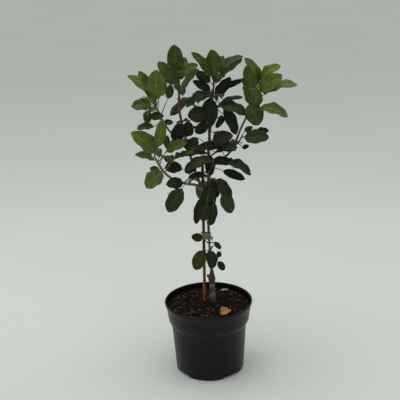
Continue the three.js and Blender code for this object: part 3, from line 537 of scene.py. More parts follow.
def curve_at(points, share):
    """A point a share of the way along the smooth centripetal curve through some points."""
    points = [Vector(p) for p in points]
    points = [points[0] * 2 - points[1], *points, points[-1] * 2 - points[-2]]
    spans = len(points) - 3
    i = min(int(share * spans), spans - 1)
    t = share * spans - i
    a, b, c, d = points[i : i + 4]
    before, here, after = (math.sqrt((q - p).length) for p, q in ((a, b), (b, c), (c, d)))
    leave = ((b - a) / before - (c - a) / (before + here)) * here + (c - b)
    arrive = ((d - c) / after - (d - b) / (here + after)) * here + (c - b)
    squared, cubed = t * t, t * t * t
    return (
        b * (2 * cubed - 3 * squared + 1) + leave * (cubed - 2 * squared + t)
        + c * (3 * squared - 2 * cubed) + arrive * (cubed - squared)
    )


def wood_line(points, steps):
    """A line of wood through points [x, y, z, radius]: its points and its radii."""
    line = [curve_at([p[:3] for p in points], i / steps) for i in range(steps + 1)]
    knots = np.linspace(0, 1, len(points))
    return line, list(np.interp(np.linspace(0, 1, steps + 1), knots, [p[3] for p in points]))


def bud(at, away, size):
    """A pointed bud lying along the wood: its points and its radii."""
    away = Vector(away).normalized()
    line = [at + away * (size * reach) for reach in (-0.6, 0.1, 0.8, 1.5, 1.9)]
    return line, [size * share for share in (0.55, 0.62, 0.55, 0.3, 0.05)]


def trunk_at(height):
    """The middle of the trunk at a height, and its radius there."""
    heights = [p[2] for p in TRUNK]
    x, y, radius = (float(np.interp(height, heights, [p[k] for p in TRUNK])) for k in (0, 1, 3))
    return Vector((x, y, height)), radius


def bark():
    material, tree, shader, where = finish("apple_bark", Roughness=0.82, Specular_IOR_Level=0.3)
    height = node(tree, "ShaderNodeSeparateXYZ", {"Vector": where}, out=2)
    flake = grain(tree, where, 260.0, 6.0, (1.0, 1.0, 0.5))
    blotch = grain(tree, where, 90.0, 4.0)
    low = between(tree, ramp(tree, flake, 0.45, 0.72), linear(BARK_LOW), linear(BARK_YOUNG))
    peel_band = ramp(tree, height, 0.150, 0.172) * ramp(tree, height, 0.198, 0.188)
    peeling = peel_band * ramp(tree, blotch * 0.6 + flake * 0.5, 0.42, 0.62)
    low = between(tree, peeling, low, linear(BARK_PEEL))
    lens = ramp(tree, grain(tree, where, 700.0, 2.0, (1.0, 1.0, 0.45)), 0.66, 0.76)
    young = between(tree, ramp(tree, blotch, 0.35, 0.7), linear(BARK_LOW), linear(BARK_YOUNG))
    young = between(tree, lens * 0.6, young, linear(BARK_PEEL))
    pale_length = ramp(tree, height, 0.255, 0.275) * ramp(tree, height, 0.325, 0.3)
    young = between(tree, pale_length * ramp(tree, blotch, 0.3, 0.6) * 0.8, young, linear(BARK_PALE))
    young = between(tree, ramp(tree, height, 0.52, 0.60), young, linear(BARK_TIP))
    colour = between(tree, ramp(tree, height, 0.212, 0.226), low, young)
    plug(tree, shader["Base Color"], colour)
    relief(tree, shader, flake + lens * 0.4, 0.0006)
    return material


lines = [wood_line(TRUNK, 260), wood_line(SNAG, 14), wood_line(STUB, 12)]
for height, bearing in TRUNK_BUDS:
    middle, radius = trunk_at(height)
    out = Vector((math.cos(math.radians(bearing)), math.sin(math.radians(bearing)), 0))
    lines.append(bud(middle + out * radius, out * BUD_SPREAD + Vector((0, 0, 1)), BUD_SIZE))
apple_bark = bark()
values = WOOD | {"Sides": 26.0, "Bark depth": 0.35 * MM, "Bark": apple_bark}
trunk = grown("apple_trunk", lines_mesh("apple_trunk", lines), grown_wood, values)
placed(trunk, "bark", "trunk")

# ---- Tie --------------------------------------------------------------------------------------
# A soft olive band of tree tie, wrapped once round cane and stem together and knotted beside
# the stem. It is slightly stretched, so that it wrinkles along its edges.
TIE_HEIGHT = 303
TIE_WIDTH = 14
TIE_THICKNESS = 1.2
TIE_SLACK = 0.7
TIE_STATIONS = 120
TIE_ROWS = 14
TIE_OLIVE, TIE_DARK = 0x8A8762, 0x4C4A34


def tie_band():
    """The band: a flat strip's section taken round the cane and the stem, wrinkled a little."""
    share = (TIE_HEIGHT - CANE_FOOT[2]) / (CANE_TOP[2] - CANE_FOOT[2])
    cane_middle = Vector(CANE_FOOT).lerp(Vector(CANE_TOP), share)
    stem_middle, stem_radius = trunk_at(TIE_HEIGHT)
    span = (stem_middle - cane_middle).xy
    heading = math.atan2(span.y, span.x)
    corners, faces = [], []
    section = [(1, (i / TIE_ROWS - 0.5)) for i in range(TIE_ROWS + 1)]
    section += [(0, (0.5 - i / TIE_ROWS)) for i in range(TIE_ROWS + 1)]
    for k in range(TIE_STATIONS):
        turn = 2 * math.pi * k / TIE_STATIONS
        on_stem = math.cos(turn) > (CANE_RADIUS - stem_radius) / span.length
        middle, radius = (stem_middle, stem_radius) if on_stem else (cane_middle, CANE_RADIUS)
        out = Vector((math.cos(turn + heading), math.sin(turn + heading), 0))
        for outer, level in section:
            wrinkle = 0.22 * math.sin(turn * 5 + level * 9) + 0.16 * math.sin(turn * 11 - level * 23)
            waist = 0.5 * (4 * level * level - 0.4)
            edge = -0.3 if abs(level) > 0.49 else 0
            reach = radius + TIE_SLACK + TIE_THICKNESS * outer + wrinkle * 0.5 + waist * 0.4
            reach += edge * (outer * 2 - 1)
            lift = 0.5 * math.sin(turn * 2 + 0.6) + 0.25 * math.sin(turn * 7)
            corner = middle + out * reach
            corner.z = TIE_HEIGHT + TIE_WIDTH * level + lift
            corners.append(corner)
    around = len(section)
    for k in range(TIE_STATIONS):
        for i in range(around):
            here, there = k * around, (k + 1) % TIE_STATIONS * around
            after = (i + 1) % around
            faces.append((here + i, there + i, there + after, here + after))
    return corners, faces, stem_middle, stem_radius, heading


def tie_cloth():
    material, tree, shader, where = finish("tie_cloth", Roughness=0.8, Sheen_Weight=0.15)
    rib = grain(tree, where, 500.0, 3.0, (0.15, 0.15, 1.0))
    blotch = grain(tree, where, 160.0, 4.0)
    shade = ramp(tree, rib * 0.5 + blotch * 0.6, 0.35, 0.75)
    plug(tree, shader["Base Color"], between(tree, shade, linear(TIE_DARK), linear(TIE_OLIVE)))
    relief(tree, shader, rib, 0.0003)
    return material


corners, faces, stem_middle, stem_radius, heading = tie_band()
tie = stand("tree_tie", mesh_of("tree_tie", corners, faces), tie_cloth(), 60)
out = Vector((math.cos(heading), math.sin(heading), 0))
at = stem_middle + out * (stem_radius + TIE_SLACK + TIE_THICKNESS + 1.6) + Vector((0, -1, -3.5))
knot_rings = ((-3.6, 0.4), (-2.6, 2.1), (-0.6, 2.9), (1.6, 2.7), (3.6, 0.5))
knot = [(at + Vector((0, 0, z)), r) for z, r in knot_rings]
tails = [
    [((0.6, -1.4, -0.8), 1.3), ((1.4, -2.3, -3), 1.1), ((1.2, -2.6, -4.2), 0.9)],
    [((0.4, 0.8, 0.6), 1.2), ((1.7, 1.2, 2.4), 1.0), ((1.9, 1.2, 4.0), 0.8)],
]
tails = [[(at + Vector(step), r) for step, r in tail] for tail in tails]
lines = [tuple(zip(*line)) for line in (knot, *tails)]
values = WOOD | {"Sides": 12.0, "Bark depth": 0.15 * MM, "Bark": tie.data.materials[0]}
tie_knot = grown("tie_knot", lines_mesh("tie_knot", lines), grown_wood, values)
for piece in (tie, tie_knot):
    placed(piece, "tie_band", "tie")

# ---- Leafy shoots -----------------------------------------------------------------------------
# Each shoot grew as one piece: a thin twig with buds, and leaves on stalks. The leaves are ovate
# and finely toothed, folded along the midrib, satin green above and paler grey-green below.
LEAF = {
    "Blade thickness": 0.42 * MM, "Wave": 0.16, "Quilting": 0.35 * MM, "Teeth": 24.0,
    "Tooth depth": 0.09, "Veins": 8.0, "Stalk radius": 0.95 * MM, "Stalk rise": 0.06,
}
BLADE_COLUMNS, BLADE_ROWS, STALK_STEPS, STALK_SIDES = 9, 49, 18, 6
VEIN_SLANT = 1.4  # how far a side vein runs up the blade from rib to edge, in vein spaces
STALK_SHARE = 0.42  # how much of a stalk's line is free; the rest is the rib under the blade
RIB_REACH = 0.93  # how far up the blade the rib goes
BLADE_OUTLINE = [
    (0, 0), (0.03, 0.2), (0.08, 0.46), (0.2, 0.82), (0.4, 1), (0.62, 0.95), (0.8, 0.75),
    (0.92, 0.45), (0.97, 0.22), (1, 0),
]
# Leaf greens from darkest to freshest; the darkest stand partly for old leaves and partly for painted
# shade inside the crown.
LEAF_GREENS = [0x161C0E, 0x262E16, 0x3C4820, 0x5C6A2C]
# How young a shoot's leaves are, by its slot, with painted shade that keeps the inner shoots darkest; and
# what a leaf's place adds (fresher at twig tips, and lighter towards the crown's edge as painted light)
# and what chance adds.
YOUTH_AND_SHADE = {"leaf_inner": 0.24, "leaf_low": 0.32, "leaf_bright": 0.7, "leaf_young": 0.74}
YOUTH_AT_TIP, LIGHT_AT_CROWN_EDGE, YOUTH_CHANCE = 1.1, 0.25, 0.16
CROWN_MIDDLE, CROWN_RADIUS = 10, 130
LEAF_BACK, LEAF_VEIN, STALK_GREEN, STALK_RED = 0x66704C, 0x7E8A44, 0x59622E, 0x3C281A
SHOOT_SIDES = 10.0
# Each shoot: its slot, where it leaves (a height on the trunk, or a share of another shoot's
# twig), the twig's points and radius, and its leaves. A leaf is the share of the twig that its
# stalk leaves at, its base, its tip, its width, the way it faces, its arch and its fold.
SHOOTS = {
    "shoot_top": (
        "leaf_young", "top",
        [(21.5, -3, 622), (22, -6, 646)], 1.6, [
        (0.9, (17, -14, 646), (-20, -29, 697), 21, (-0.1, -0.9, 0.7), 0.12, 0.3),
        (1.0, (26, -12, 648), (18, -27, 700), 32, (0.1, -1, 0.1), -0.05, 0.25),
        (0.9, (34, -14, 650), (79, -30, 687), 22, (0, -0.6, 1), 0.14, 0.25),
        (0.8, (36, -6, 645), (79, -12, 680), 21, (-0.3, 1, 0.4), 0.06, 0.2),
        (0.1, (38, 4, 619), (81, 0, 636), 13, (0, -1, 0.3), 0.08, 0.2),
        (0.3, (25, -16, 613), (55, -24, 645), 25, (0.4, -1, 0.1), 0.06, 0.2),
        (0.6, (14, -14, 634), (-11, -22, 661), 24, (-0.5, -1, 0), 0.05, 0.2),
        (0.4, (15, -8, 618), (-20, -22, 640), 18, (-0.3, -0.9, 0.4), 0.08, 0.2),
        (0.8, (16, 8, 648), (-4, 34, 676), 26, (0, 0.8, 0.6), 0.1, 0.25),
        (0.9, (28, 8, 650), (44, 30, 680), 26, (0.2, 1, 0.3), 0.1, 0.25),
        (0.5, (26, 10, 628), (40, 52, 640), 28, (0.2, 0.2, 1), 0.14, 0.25),
    ]),
    "shoot_left_leader": (
        "leaf_young", 401,
        [(-12, 0, 425), (-28, -6, 480), (-41, -12, 540),
         (-48, -15, 583), (-47, -17, 622), (-50, -19, 652)], 2.4, [
        (1.0, (-51, -22, 658), (-53, -28, 712), 34, (0, -1, 0.1), -0.04, 0.3),
        (0.95, (-54, -28, 636), (-85, -38, 681), 29, (-0.1, -1, 0.6), 0.1, 0.2),
        (0.9, (-49, -30, 621), (-50, -36, 665), 15, (0.1, -1, -0.1), -0.08, -0.7),
        (0.97, (-45, -26, 645), (-9, -34, 674), 26, (0.1, -0.7, 0.8), 0.12, 0.25),
        (0.9, (-42, -30, 621), (-8, -38, 668), 18, (-0.4, 0.8, 0.5), 0.08, 0.2),
        (0.72, (-67, -4, 568), (-31, 5, 600), 19, (-0.3, -1, 0.3), 0.06, 0.2),
        (0.36, (-58, -42, 524), (-44, -50, 562), 28, (0.1, -1, 0.3), 0.08, 0.2),
        (0.45, (-34, -30, 530), (-30, -38, 563), 26, (0, -1, 0.3), 0.06, 0.2),
        (0.93, (-52, 0, 640), (-74, 22, 662), 26, (-0.2, 0.8, 0.6), 0.1, 0.25),
        (0.96, (-44, 0, 648), (-34, 26, 680), 25, (0.2, 1, 0.3), 0.1, 0.25),
        (0.8, (-40, 6, 606), (-62, 44, 622), 28, (0.1, 0.2, 1), 0.12, 0.25),
    ]),
    "shoot_left_fan": (
        "leaf_young", ("shoot_left_leader", 0.42),
        [(-52, -24, 524), (-70, -31, 545), (-85, -36, 572), (-93, -39, 592)], 1.6, [
        (1.0, (-98, -42, 606), (-144, -58, 660), 27, (0.6, -0.9, 0.9), 0.2, 0.2),
        (0.97, (-98, -30, 612), (-122, -38, 665), 24, (0.3, -1, 0.4), 0.08, 0.2),
        (1.0, (-90, -50, 616), (-88, -72, 671), 43, (0, -1, 0.4), 0.08, 0.2),
        (0.9, (-85, -38, 618), (-77, -46, 655), 21, (0.3, -1, 0.3), 0.08, 0.2),
        (0.75, (-69, -27, 607), (-63, -24, 635), 17, (0.2, -1, 0.3), 0.05, 0.2),
        (0.95, (-101, -50, 601), (-139, -64, 600), 27, (0, -1, 0.7), 0.1, 0.2),
        (0.85, (-84, -50, 584), (-112, -58, 582), 15, (0, -0.5, 1), 0.4, 0.2),
        (0.85, (-108, -42, 589), (-110, -50, 563), 18, (-0.3, -1, 0), 0.06, 0.2),
        (0.7, (-105, -54, 578), (-77, -60, 579), 17, (0, -1, 0.4), 0.08, 0.2),
        (0.65, (-99, -44, 556), (-131, -58, 556), 18, (-0.1, -0.8, 0.8), 0.12, 0.25),
        (0.5, (-79, -44, 564), (-60, -46, 563), 12, (0, -1, 0.5), 0.06, 0.2),
        (1.0, (-88, -26, 606), (-84, 8, 636), 30, (0, 0.6, 0.8), 0.12, 0.25),
        (0.9, (-97, -28, 596), (-116, 4, 606), 27, (-0.2, 0.3, 1), 0.14, 0.25),
    ]),
    "shoot_left_low": (
        "leaf_bright", 392,
        [(-15, -10, 420), (-40, -22, 430), (-64, -32, 442),
         (-83, -40, 461), (-93, -44, 480), (-100, -46, 495)], 2.4, [
        (1.0, (-100, -50, 505), (-140, -77, 553), 38, (0, -1, 0.7), 0.08, 0.4),
        (1.0, (-92, -60, 518), (-79, -72, 577), 24, (0.2, -1, 0.2), 0.05, 0.35),
        (0.9, (-100, -40, 486), (-138, -56, 503), 19, (0, -0.7, 1), 0.1, 0.2),
        (0.85, (-71, -38, 506), (-74, -42, 537), 17, (-0.4, -1, 0), 0.06, 0.2),
        (0.8, (-76, -54, 508), (-35, -66, 527), 25, (0, -0.9, 0.8), 0.1, 0.25),
        (0.65, (-58, -60, 494), (-20, -70, 508), 14, (0, -0.8, 1), 0.1, 0.25),
        (0.75, (-93, -32, 462), (-111, -38, 469), 15, (-0.1, -0.9, 0.5), 0.06, 0.2),
        (0.75, (-87, -56, 468), (-117, -74, 438), 36, (-0.3, -1, 0.4), 0.12, 0.2),
        (0.85, (-92, -20, 486), (-114, 14, 500), 28, (0, 0.2, 1), 0.14, 0.25),
        (0.7, (-70, -14, 470), (-86, 22, 478), 28, (0, 0.2, 1), 0.14, 0.25),
    ]),
    "shoot_left_droop": (
        "leaf_low", 413,
        [(-10, -14, 430), (-26, -32, 442), (-34, -42, 446)], 1.5, [
        (1.0, (-47, -52, 429), (-78, -64, 384), 34, (-0.3, -1, 0.3), 0.1, 0.2),
        (0.9, (-45, -36, 436), (-79, -46, 437), 25, (0, -0.9, 0.5), 0.08, 0.2),
        (0.6, (-46, -12, 458), (-82, -2, 462), 26, (0, -0.9, 0.6), 0.1, 0.25),
        (0.5, (-18, -38, 478), (-40, -48, 460), 22, (0, -1, 0.4), 0.08, 0.2),
    ]),
    "shoot_right_leader": (
        "leaf_young", 456.4,
        [(30, -6, 473), (47, -16, 487), (60, -24, 508),
         (72, -30, 540), (84, -33, 566), (96, -36, 592)], 2, [
        (1.0, (101, -40, 626), (81, -50, 687), 27, (0.7, -0.9, 0.4), 0.2, 0.2),
        (1.0, (94, -56, 627), (83, -72, 675), 22, (-0.3, -1, 0.3), -0.04, 0.2),
        (1.0, (111, -42, 640), (149, -58, 671), 27, (-0.1, -0.9, 0.9), 0.14, 0.2),
        (1.0, (110, -48, 622), (151, -72, 655), 32, (0.2, -1, 0.5), 0.08, 0.25),
        (0.98, (118, -42, 612), (182, -60, 633), 27, (-0.1, -0.7, 1), 0.2, 0.2),
        (0.95, (101, -50, 592), (103, -64, 628), 27, (0, -1, 0.3), 0.08, 0.2),
        (0.9, (93, -32, 591), (85, -36, 629), 16, (-0.7, -0.8, 0), 0.06, 0.2),
        (0.93, (89, -24, 627), (75, -22, 642), 13, (0.2, -1, 0.3), 0.06, 0.2),
        (0.85, (109, -44, 585), (163, -66, 572), 27, (0.1, -0.9, 1), 0.22, 0.2),
        (0.8, (89, -42, 594), (107, -56, 555), 38, (0.2, -1, 0.1), 0.08, 0.2),
        (0.95, (104, -22, 604), (124, 14, 622), 28, (0.2, 0.4, 1), 0.14, 0.25),
        (0.9, (94, -18, 600), (92, 20, 622), 28, (0, 0.5, 1), 0.12, 0.25),
    ]),
    "shoot_right_side": (
        "leaf_inner", ("shoot_right_leader", 0.51),
        [(70, -38, 520), (74, -44, 530)], 1.4, [
        (1.0, (79, -54, 530), (126, -68, 533), 30, (0, -1, 0.5), 0.05, 0.25),
        (0.8, (102, -34, 536), (129, -38, 539), 15, (0, -0.8, 0.6), 0.1, 0.25),
        (1.0, (80, -44, 541), (96, -48, 550), 12, (0, -1, 0.3), 0.06, 0.2),
        (0.3, (76, -34, 504), (89, -38, 510), 10, (0, -1, 0.6), 0.06, 0.2),
    ]),
    "spur_front_high": (
        "leaf_inner", 560,
        [(12, -12, 570), (12, -20, 582)], 1.4, [
        (1.0, (21, -28, 608), (-34, -46, 594), 31, (0, -0.5, 1), 0.22, 0.2),
        (0.9, (6, -34, 577), (-31, -48, 575), 34, (0, -1, 0.3), 0.08, 0.2),
        (1.0, (14, -22, 606), (9, -30, 546), 35, (0.1, -1, 0), 0.06, 0.2),
        (0.6, (6, -38, 556), (-18, -46, 542), 23, (0, -1, 0.2), 0.06, 0.2),
    ]),
    "spur_right_high": (
        "leaf_inner", 574,
        [(24, -14, 582), (28, -22, 588)], 1.4, [
        (1.0, (28, -30, 590), (79, -42, 608), 15, (0, -0.6, 1), 0.12, 0.2),
        (1.0, (30, -36, 593), (87, -48, 574), 28, (0.1, -0.8, 0.8), 0.12, 0.25),
        (0.8, (42, -26, 586), (64, -38, 533), 25, (0.3, -1, 0.1), 0.06, 0.2),
        (0.5, (42, -22, 568), (24, -30, 546), 14, (-0.3, -1, 0.2), 0.06, 0.2),
    ]),
    "spur_front_middle": (
        "leaf_inner", 488,
        [(8, -16, 498), (8, -30, 510)], 1.4, [
        (1.0, (16, -40, 523), (56, -54, 536), 29, (0, -1, 0.5), 0.08, 0.2),
        (1.0, (34, -50, 514), (64, -62, 512), 19, (0.1, -1, 0.3), 0.08, 0.2),
        (0.9, (3, -50, 508), (-30, -64, 514), 15, (0, -0.8, 0.7), 0.1, 0.2),
        (0.9, (-12, -40, 529), (-39, -48, 510), 20, (0, -1, 0.3), 0.06, 0.2),
        (0.7, (36, -34, 512), (-14, -44, 511), 20, (0, -1, 0.4), 0.08, 0.2),
        (0.9, (5, -32, 496), (-52, -42, 492), 19, (0, -0.7, 1), 0.12, 0.2),
        (0.6, (20, -40, 499), (62, -56, 506), 18, (0, -0.6, 1), 0.12, 0.2),
    ]),
    "spur_front_low": (
        "leaf_low", 440,
        [(8, -14, 452), (14, -30, 466), (18, -40, 474)], 1.5, [
        (1.0, (17, -52, 486), (-38, -72, 471), 26, (0, -0.8, 1), 0.18, 0.2),
        (0.6, (16, -30, 480), (56, -42, 476), 20, (0, -0.9, 0.5), 0.08, 0.2),
        (0.3, (11, -22, 488), (10, -28, 446), 22, (0, -1, 0.1), 0.04, 0.2),
        (0.8, (42, -42, 477), (91, -62, 455), 25, (0.2, -0.7, 0.8), 0.25, 0.25),
        (0.6, (36, -34, 458), (80, -48, 443), 19, (0, -0.9, 0.5), 0.1, 0.2),
        (0.5, (5, -58, 454), (-34, -76, 458), 17, (0, -0.6, 1), 0.1, 0.25),
    ]),
    "spur_droop": (
        "leaf_low", 414,
        [(9, -14, 420), (11, -26, 424)], 1.5, [
        (0.9, (27, -26, 440), (51, -38, 391), 27, (0.3, -1, 0.2), 0.08, 0.2),
        (0.5, (13, -30, 438), (24, -36, 402), 19, (0.2, -1, 0.1), 0.06, 0.2),
        (1.0, (33, -50, 412), (51, -62, 377), 29, (0.2, -1, 0.3), 0.08, 0.25),
        (1.0, (9, -36, 428), (3, -48, 378), 34, (0, -1, 0.2), 0.08, 0.2),
        (0.8, (-8, -38, 404), (-22, -50, 351), 20, (-0.4, -1, 0.1), 0.08, 0.2),
        (0.9, (1, -58, 398), (-8, -66, 362), 24, (0, -1, 0.3), 0.08, 0.2),
        (0.8, (16, -52, 398), (8, -60, 350), 20, (0.2, -1, 0.1), 0.08, 0.2),
    ]),
    "stem_leaf_left": (
        "leaf_low", 289,
        [(0, 0, 292), (-3, -5, 298)], 1.1, [
        (1.0, (-9, -8, 304), (-32, -14, 311), 19, (0, -1, 0.3), 0.05, 0.2),
    ]),
    "stem_leaf_right": (
        "leaf_low", 288,
        [(10, 1, 290), (12, -3, 292)], 1.1, [
        (1.0, (15, -6, 294), (29, -10, 279), 12, (0.2, -1, 0.3), 0.14, 0.2),
    ]),
    "stem_shoot_front": (
        "leaf_low", 256,
        [(4, -4, 266), (2, -10, 276)], 1.2, [
        (1.0, (-4, -14, 279), (-27, -24, 239), 30, (-0.3, -1, 0.2), 0.1, 0.25),
        (0.9, (5, -18, 281), (9, -28, 242), 25, (0.3, -1, 0.1), 0.1, 0.25),
    ]),
    "stem_shoot_right": (
        "leaf_low", 242,
        [(16, 0, 248), (22, -4, 254)], 1.1, [
        (1.0, (24, -5, 258), (25, -8, 274), 12, (0.2, -1, 0.2), 0.05, 0.2),
        (0.8, (23, -8, 250), (35, -14, 232), 16, (0.2, -1, 0.2), 0.08, 0.2),
    ]),
    "back_shoot_left_high": (
        "leaf_inner", 542,
        [(-2, 24, 556), (-14, 44, 568)], 1.6, [
        (1.0, (-20, 52, 576), (-52, 84, 584), 31, (0, 0.3, 1), 0.12, 0.25),
        (1.0, (-10, 54, 580), (2, 94, 600), 31, (0, 0.5, 1), 0.12, 0.25),
        (0.9, (-28, 40, 546), (-60, 54, 532), 28, (-0.2, 0.2, 1), 0.12, 0.25),
        (0.7, (-14, 28, 575), (-44, 40, 596), 28, (-0.4, 0.4, 1), 0.1, 0.25),
        (0.8, (-4, 48, 562), (14, 84, 552), 28, (0.2, 0.3, 1), 0.14, 0.25),
    ]),
    "back_shoot_left_low": (
        "leaf_inner", 484,
        [(-10, 26, 484), (-28, 42, 482)], 1.6, [
        (1.0, (-36, 48, 486), (-70, 76, 494), 31, (0, 0.3, 1), 0.12, 0.25),
        (1.0, (-26, 52, 486), (-22, 92, 480), 30, (0, 0.3, 1), 0.14, 0.25),
        (0.9, (-38, 36, 476), (-72, 42, 456), 28, (-0.3, 0, 1), 0.14, 0.25),
        (0.7, (-24, 30, 486), (-48, 44, 508), 26, (-0.4, 0.3, 1), 0.1, 0.25),
    ]),
    "back_shoot_middle": (
        "leaf_inner", 516,
        [(10, 28, 526), (8, 48, 534)], 1.6, [
        (1.0, (6, 58, 540), (-16, 96, 542), 31, (-0.2, 0.4, 1), 0.12, 0.25),
        (1.0, (14, 58, 540), (42, 90, 536), 31, (0.2, 0.4, 1), 0.14, 0.25),
        (0.8, (0, 46, 526), (-34, 62, 518), 28, (-0.2, 0.2, 1), 0.14, 0.25),
        (0.8, (20, 46, 518), (52, 60, 502), 28, (0.2, 0.2, 1), 0.12, 0.25),
    ]),
    "back_shoot_right_high": (
        "leaf_inner", 568,
        [(32, 22, 578), (46, 40, 586)], 1.6, [
        (1.0, (38, 50, 590), (18, 88, 596), 31, (0, 0.4, 1), 0.12, 0.25),
        (0.9, (66, 36, 566), (102, 46, 552), 28, (0.2, 0.1, 1), 0.1, 0.25),
        (0.7, (28, 30, 588), (8, 56, 604), 28, (0, 0.6, 1), 0.1, 0.25),
        (0.8, (42, 26, 568), (66, 22, 546), 24, (0.3, -0.2, 1), 0.1, 0.25),
    ]),
    "back_shoot_right_low": (
        "leaf_inner", 478,
        [(24, 22, 482), (40, 36, 484)], 1.6, [
        (1.0, (48, 42, 488), (80, 66, 490), 30, (0.2, 0.3, 1), 0.14, 0.25),
        (1.0, (40, 46, 488), (34, 86, 486), 30, (0, 0.4, 1), 0.12, 0.25),
        (0.9, (44, 30, 464), (74, 26, 446), 25, (0.3, 0, 1), 0.12, 0.25),
    ]),
    "back_shoot_low": (
        "leaf_low", 424,
        [(6, 28, 430), (8, 44, 432)], 1.6, [
        (1.0, (4, 52, 430), (-14, 84, 406), 31, (-0.2, 0.4, 1), 0.12, 0.25),
        (1.0, (14, 50, 416), (38, 72, 392), 30, (0.2, 0.4, 1), 0.12, 0.25),
        (0.8, (-2, 42, 426), (-36, 54, 404), 29, (-0.3, 0.2, 1), 0.12, 0.25),
        (0.8, (12, 40, 422), (18, 52, 378), 28, (0.2, 1, 0.2), 0.1, 0.25),
        (0.5, (-2, 30, 420), (-12, 36, 376), 27, (-0.3, 1, 0.2), 0.1, 0.25),
    ]),
}


def shaped(tree, value, points):
    """A curve drawn through points, which turns a share into a height."""
    added = tree.nodes.new("ShaderNodeFloatCurve")
    line = added.mapping.curves[0]
    for x, y in points[1:-1]:
        line.points.new(x, y)
    line.points[0].location = points[0]
    line.points[-1].location = points[-1]
    added.mapping.update()
    plug(tree, added.inputs["Value"], value)
    return Flow(tree, added.outputs[0])


def blade_sheets(tree):
    """A flat blade, an upper and a lower sheet, each marked with where its points are."""
    counts = {"Vertices X": BLADE_COLUMNS, "Vertices Y": BLADE_ROWS}
    sheet = node(tree, "GeometryNodeMeshGrid", {"Size X": 2.0, "Size Y": 1.0} | counts)
    where = node(tree, "GeometryNodeInputPosition")
    across, along = (node(tree, "ShaderNodeSeparateXYZ", {"Vector": where}, out=i) for i in (0, 1))
    sheet = keep(tree, sheet, "across", across)
    sheet = keep(tree, sheet, "share", along + 0.5)
    lower = node(tree, "GeometryNodeFlipFaces", {"Mesh": sheet})
    return joined(tree, keep(tree, sheet, "upper", 1.0), keep(tree, lower, "upper", 0.0))


def midrib(tree, share):
    """The point a share of the way up a leaf's midrib, which arches, curls and sways."""
    root, chord, up = (kept(tree, name, "FLOAT_VECTOR") for name in ("root", "chord", "up"))
    bow = share * (1.0 - share) * 4.0
    curl = share.then("POWER", 3.0) * kept(tree, "curl")
    length = chord.then("LENGTH")
    rise = (kept(tree, "arch") * bow - curl) * length
    sway = kept(tree, "side", "FLOAT_VECTOR") * (kept(tree, "sway") * bow * length)
    return root + chord * share + up * rise + sway


def leaf_surface(tree, given):
    """Where each point of a blade goes: outline, teeth, fold, twist, wave and quilting."""
    share, across, upper = (kept(tree, name) for name in ("share", "across", "upper"))
    side, up = (kept(tree, name, "FLOAT_VECTOR") for name in ("side", "up"))
    fold, seed = kept(tree, "fold"), kept(tree, "seed")
    outline = shaped(tree, share, BLADE_OUTLINE)
    off_rib = across.then("ABSOLUTE")
    edge = off_rib.then("POWER", 6.0)
    tooth = (share * given["Teeth"]).then("FRACT") * given["Tooth depth"] * edge
    half = outline * kept(tree, "width") * 0.5 * (1.0 - tooth)
    lift = (off_rib * 0.5 + off_rib * off_rib * 0.5) * half * fold
    ripple = (share * 15.0 + seed * 40.0 + across * 1.4).then("SINE") * off_rib * off_rib
    ripple = ripple * given["Wave"] * half
    beat = ((share * given["Veins"] - off_rib * VEIN_SLANT) * 6.283).then("COSINE")
    quilt = beat * off_rib * (1.0 - off_rib) * given["Quilting"] * -4.0 * outline
    body = (1.0 - edge) * (outline * 4.0).then("MINIMUM", 1.0)
    skin = body * given["Blade thickness"] * (upper - 0.5)
    turn = kept(tree, "twist") * (share - 0.2)
    sideways = side * turn.then("COSINE") - up * turn.then("SINE")
    upward = up * turn.then("COSINE") + side * turn.then("SINE")
    reach = across * half * (1.0 - fold * fold * 0.4)
    return midrib(tree, share) + sideways * reach + upward * (lift + ripple + quilt + skin)


def shoot_tree():
    sizes = LEAF | {"Sides": SHOOT_SIDES, "Bark depth": 0.0, "Bark grain": 400.0}
    tree, given, result = geometry_tree("leafy_shoot", sizes, "Bark", "Leaf", "Stalk")
    points = given["Geometry"]
    chosen = kept(tree, "is_leaf").then("GREATER_THAN", 0.5)
    feeds = {"Points": points, "Selection": chosen, "Instance": blade_sheets(tree)}
    blades = node(tree, "GeometryNodeInstanceOnPoints", feeds)
    blades = node(tree, "GeometryNodeRealizeInstances", {"Geometry": blades})
    feeds = {"Geometry": blades, "Position": leaf_surface(tree, given)}
    blades = node(tree, "GeometryNodeSetPosition", feeds)
    blades = node(tree, "GeometryNodeMergeByDistance", {"Geometry": blades, "Distance": 0.02 * MM})
    step = {"Count": STALK_STEPS, "Offset": (1 / (STALK_STEPS - 1), 0.0, 0.0)}
    line = node(tree, "GeometryNodeMeshLine", step)
    run = node(tree, "ShaderNodeSeparateXYZ", {"Vector": node(tree, "GeometryNodeInputPosition")})
    line = keep(tree, line, "run", run)
    feeds = {"Points": points, "Selection": chosen, "Instance": line}
    stalks = node(tree, "GeometryNodeInstanceOnPoints", feeds)
    stalks = node(tree, "GeometryNodeRealizeInstances", {"Geometry": stalks})
    run = kept(tree, "run")
    free = (run * (1 / STALK_SHARE)).then("MINIMUM", 1.0)
    rib = ((run - STALK_SHARE) * (RIB_REACH / (1 - STALK_SHARE))).then("MAXIMUM", 0.0)
    leave = kept(tree, "leave", "FLOAT_VECTOR")
    girth = given["Stalk radius"] * (1.15 - run)
    sunk = girth * 0.8 + given["Blade thickness"] * 0.4
    reach = midrib(tree, rib) - kept(tree, "up", "FLOAT_VECTOR") * sunk - leave
    spring = reach.then("LENGTH") * given["Stalk rise"] * free * (1.0 - free) * 4.0
    spring = node(tree, "ShaderNodeCombineXYZ", {"Z": spring})
    feeds = {"Geometry": stalks, "Position": leave + reach * free + spring}
    stalks = node(tree, "GeometryNodeSetPosition", feeds)
    stalks = keep(tree, stalks, "girth", girth)
    stalks = surfaced(tree, tubes(tree, stalks, STALK_SIDES), given["Stalk"])
    wood = surfaced(tree, tubes(tree, points, given["Sides"]), given["Bark"])
    blades = surfaced(tree, blades, given["Leaf"])
    tree.links.new(joined(tree, wood, blades, stalks).socket, result)
    return tree


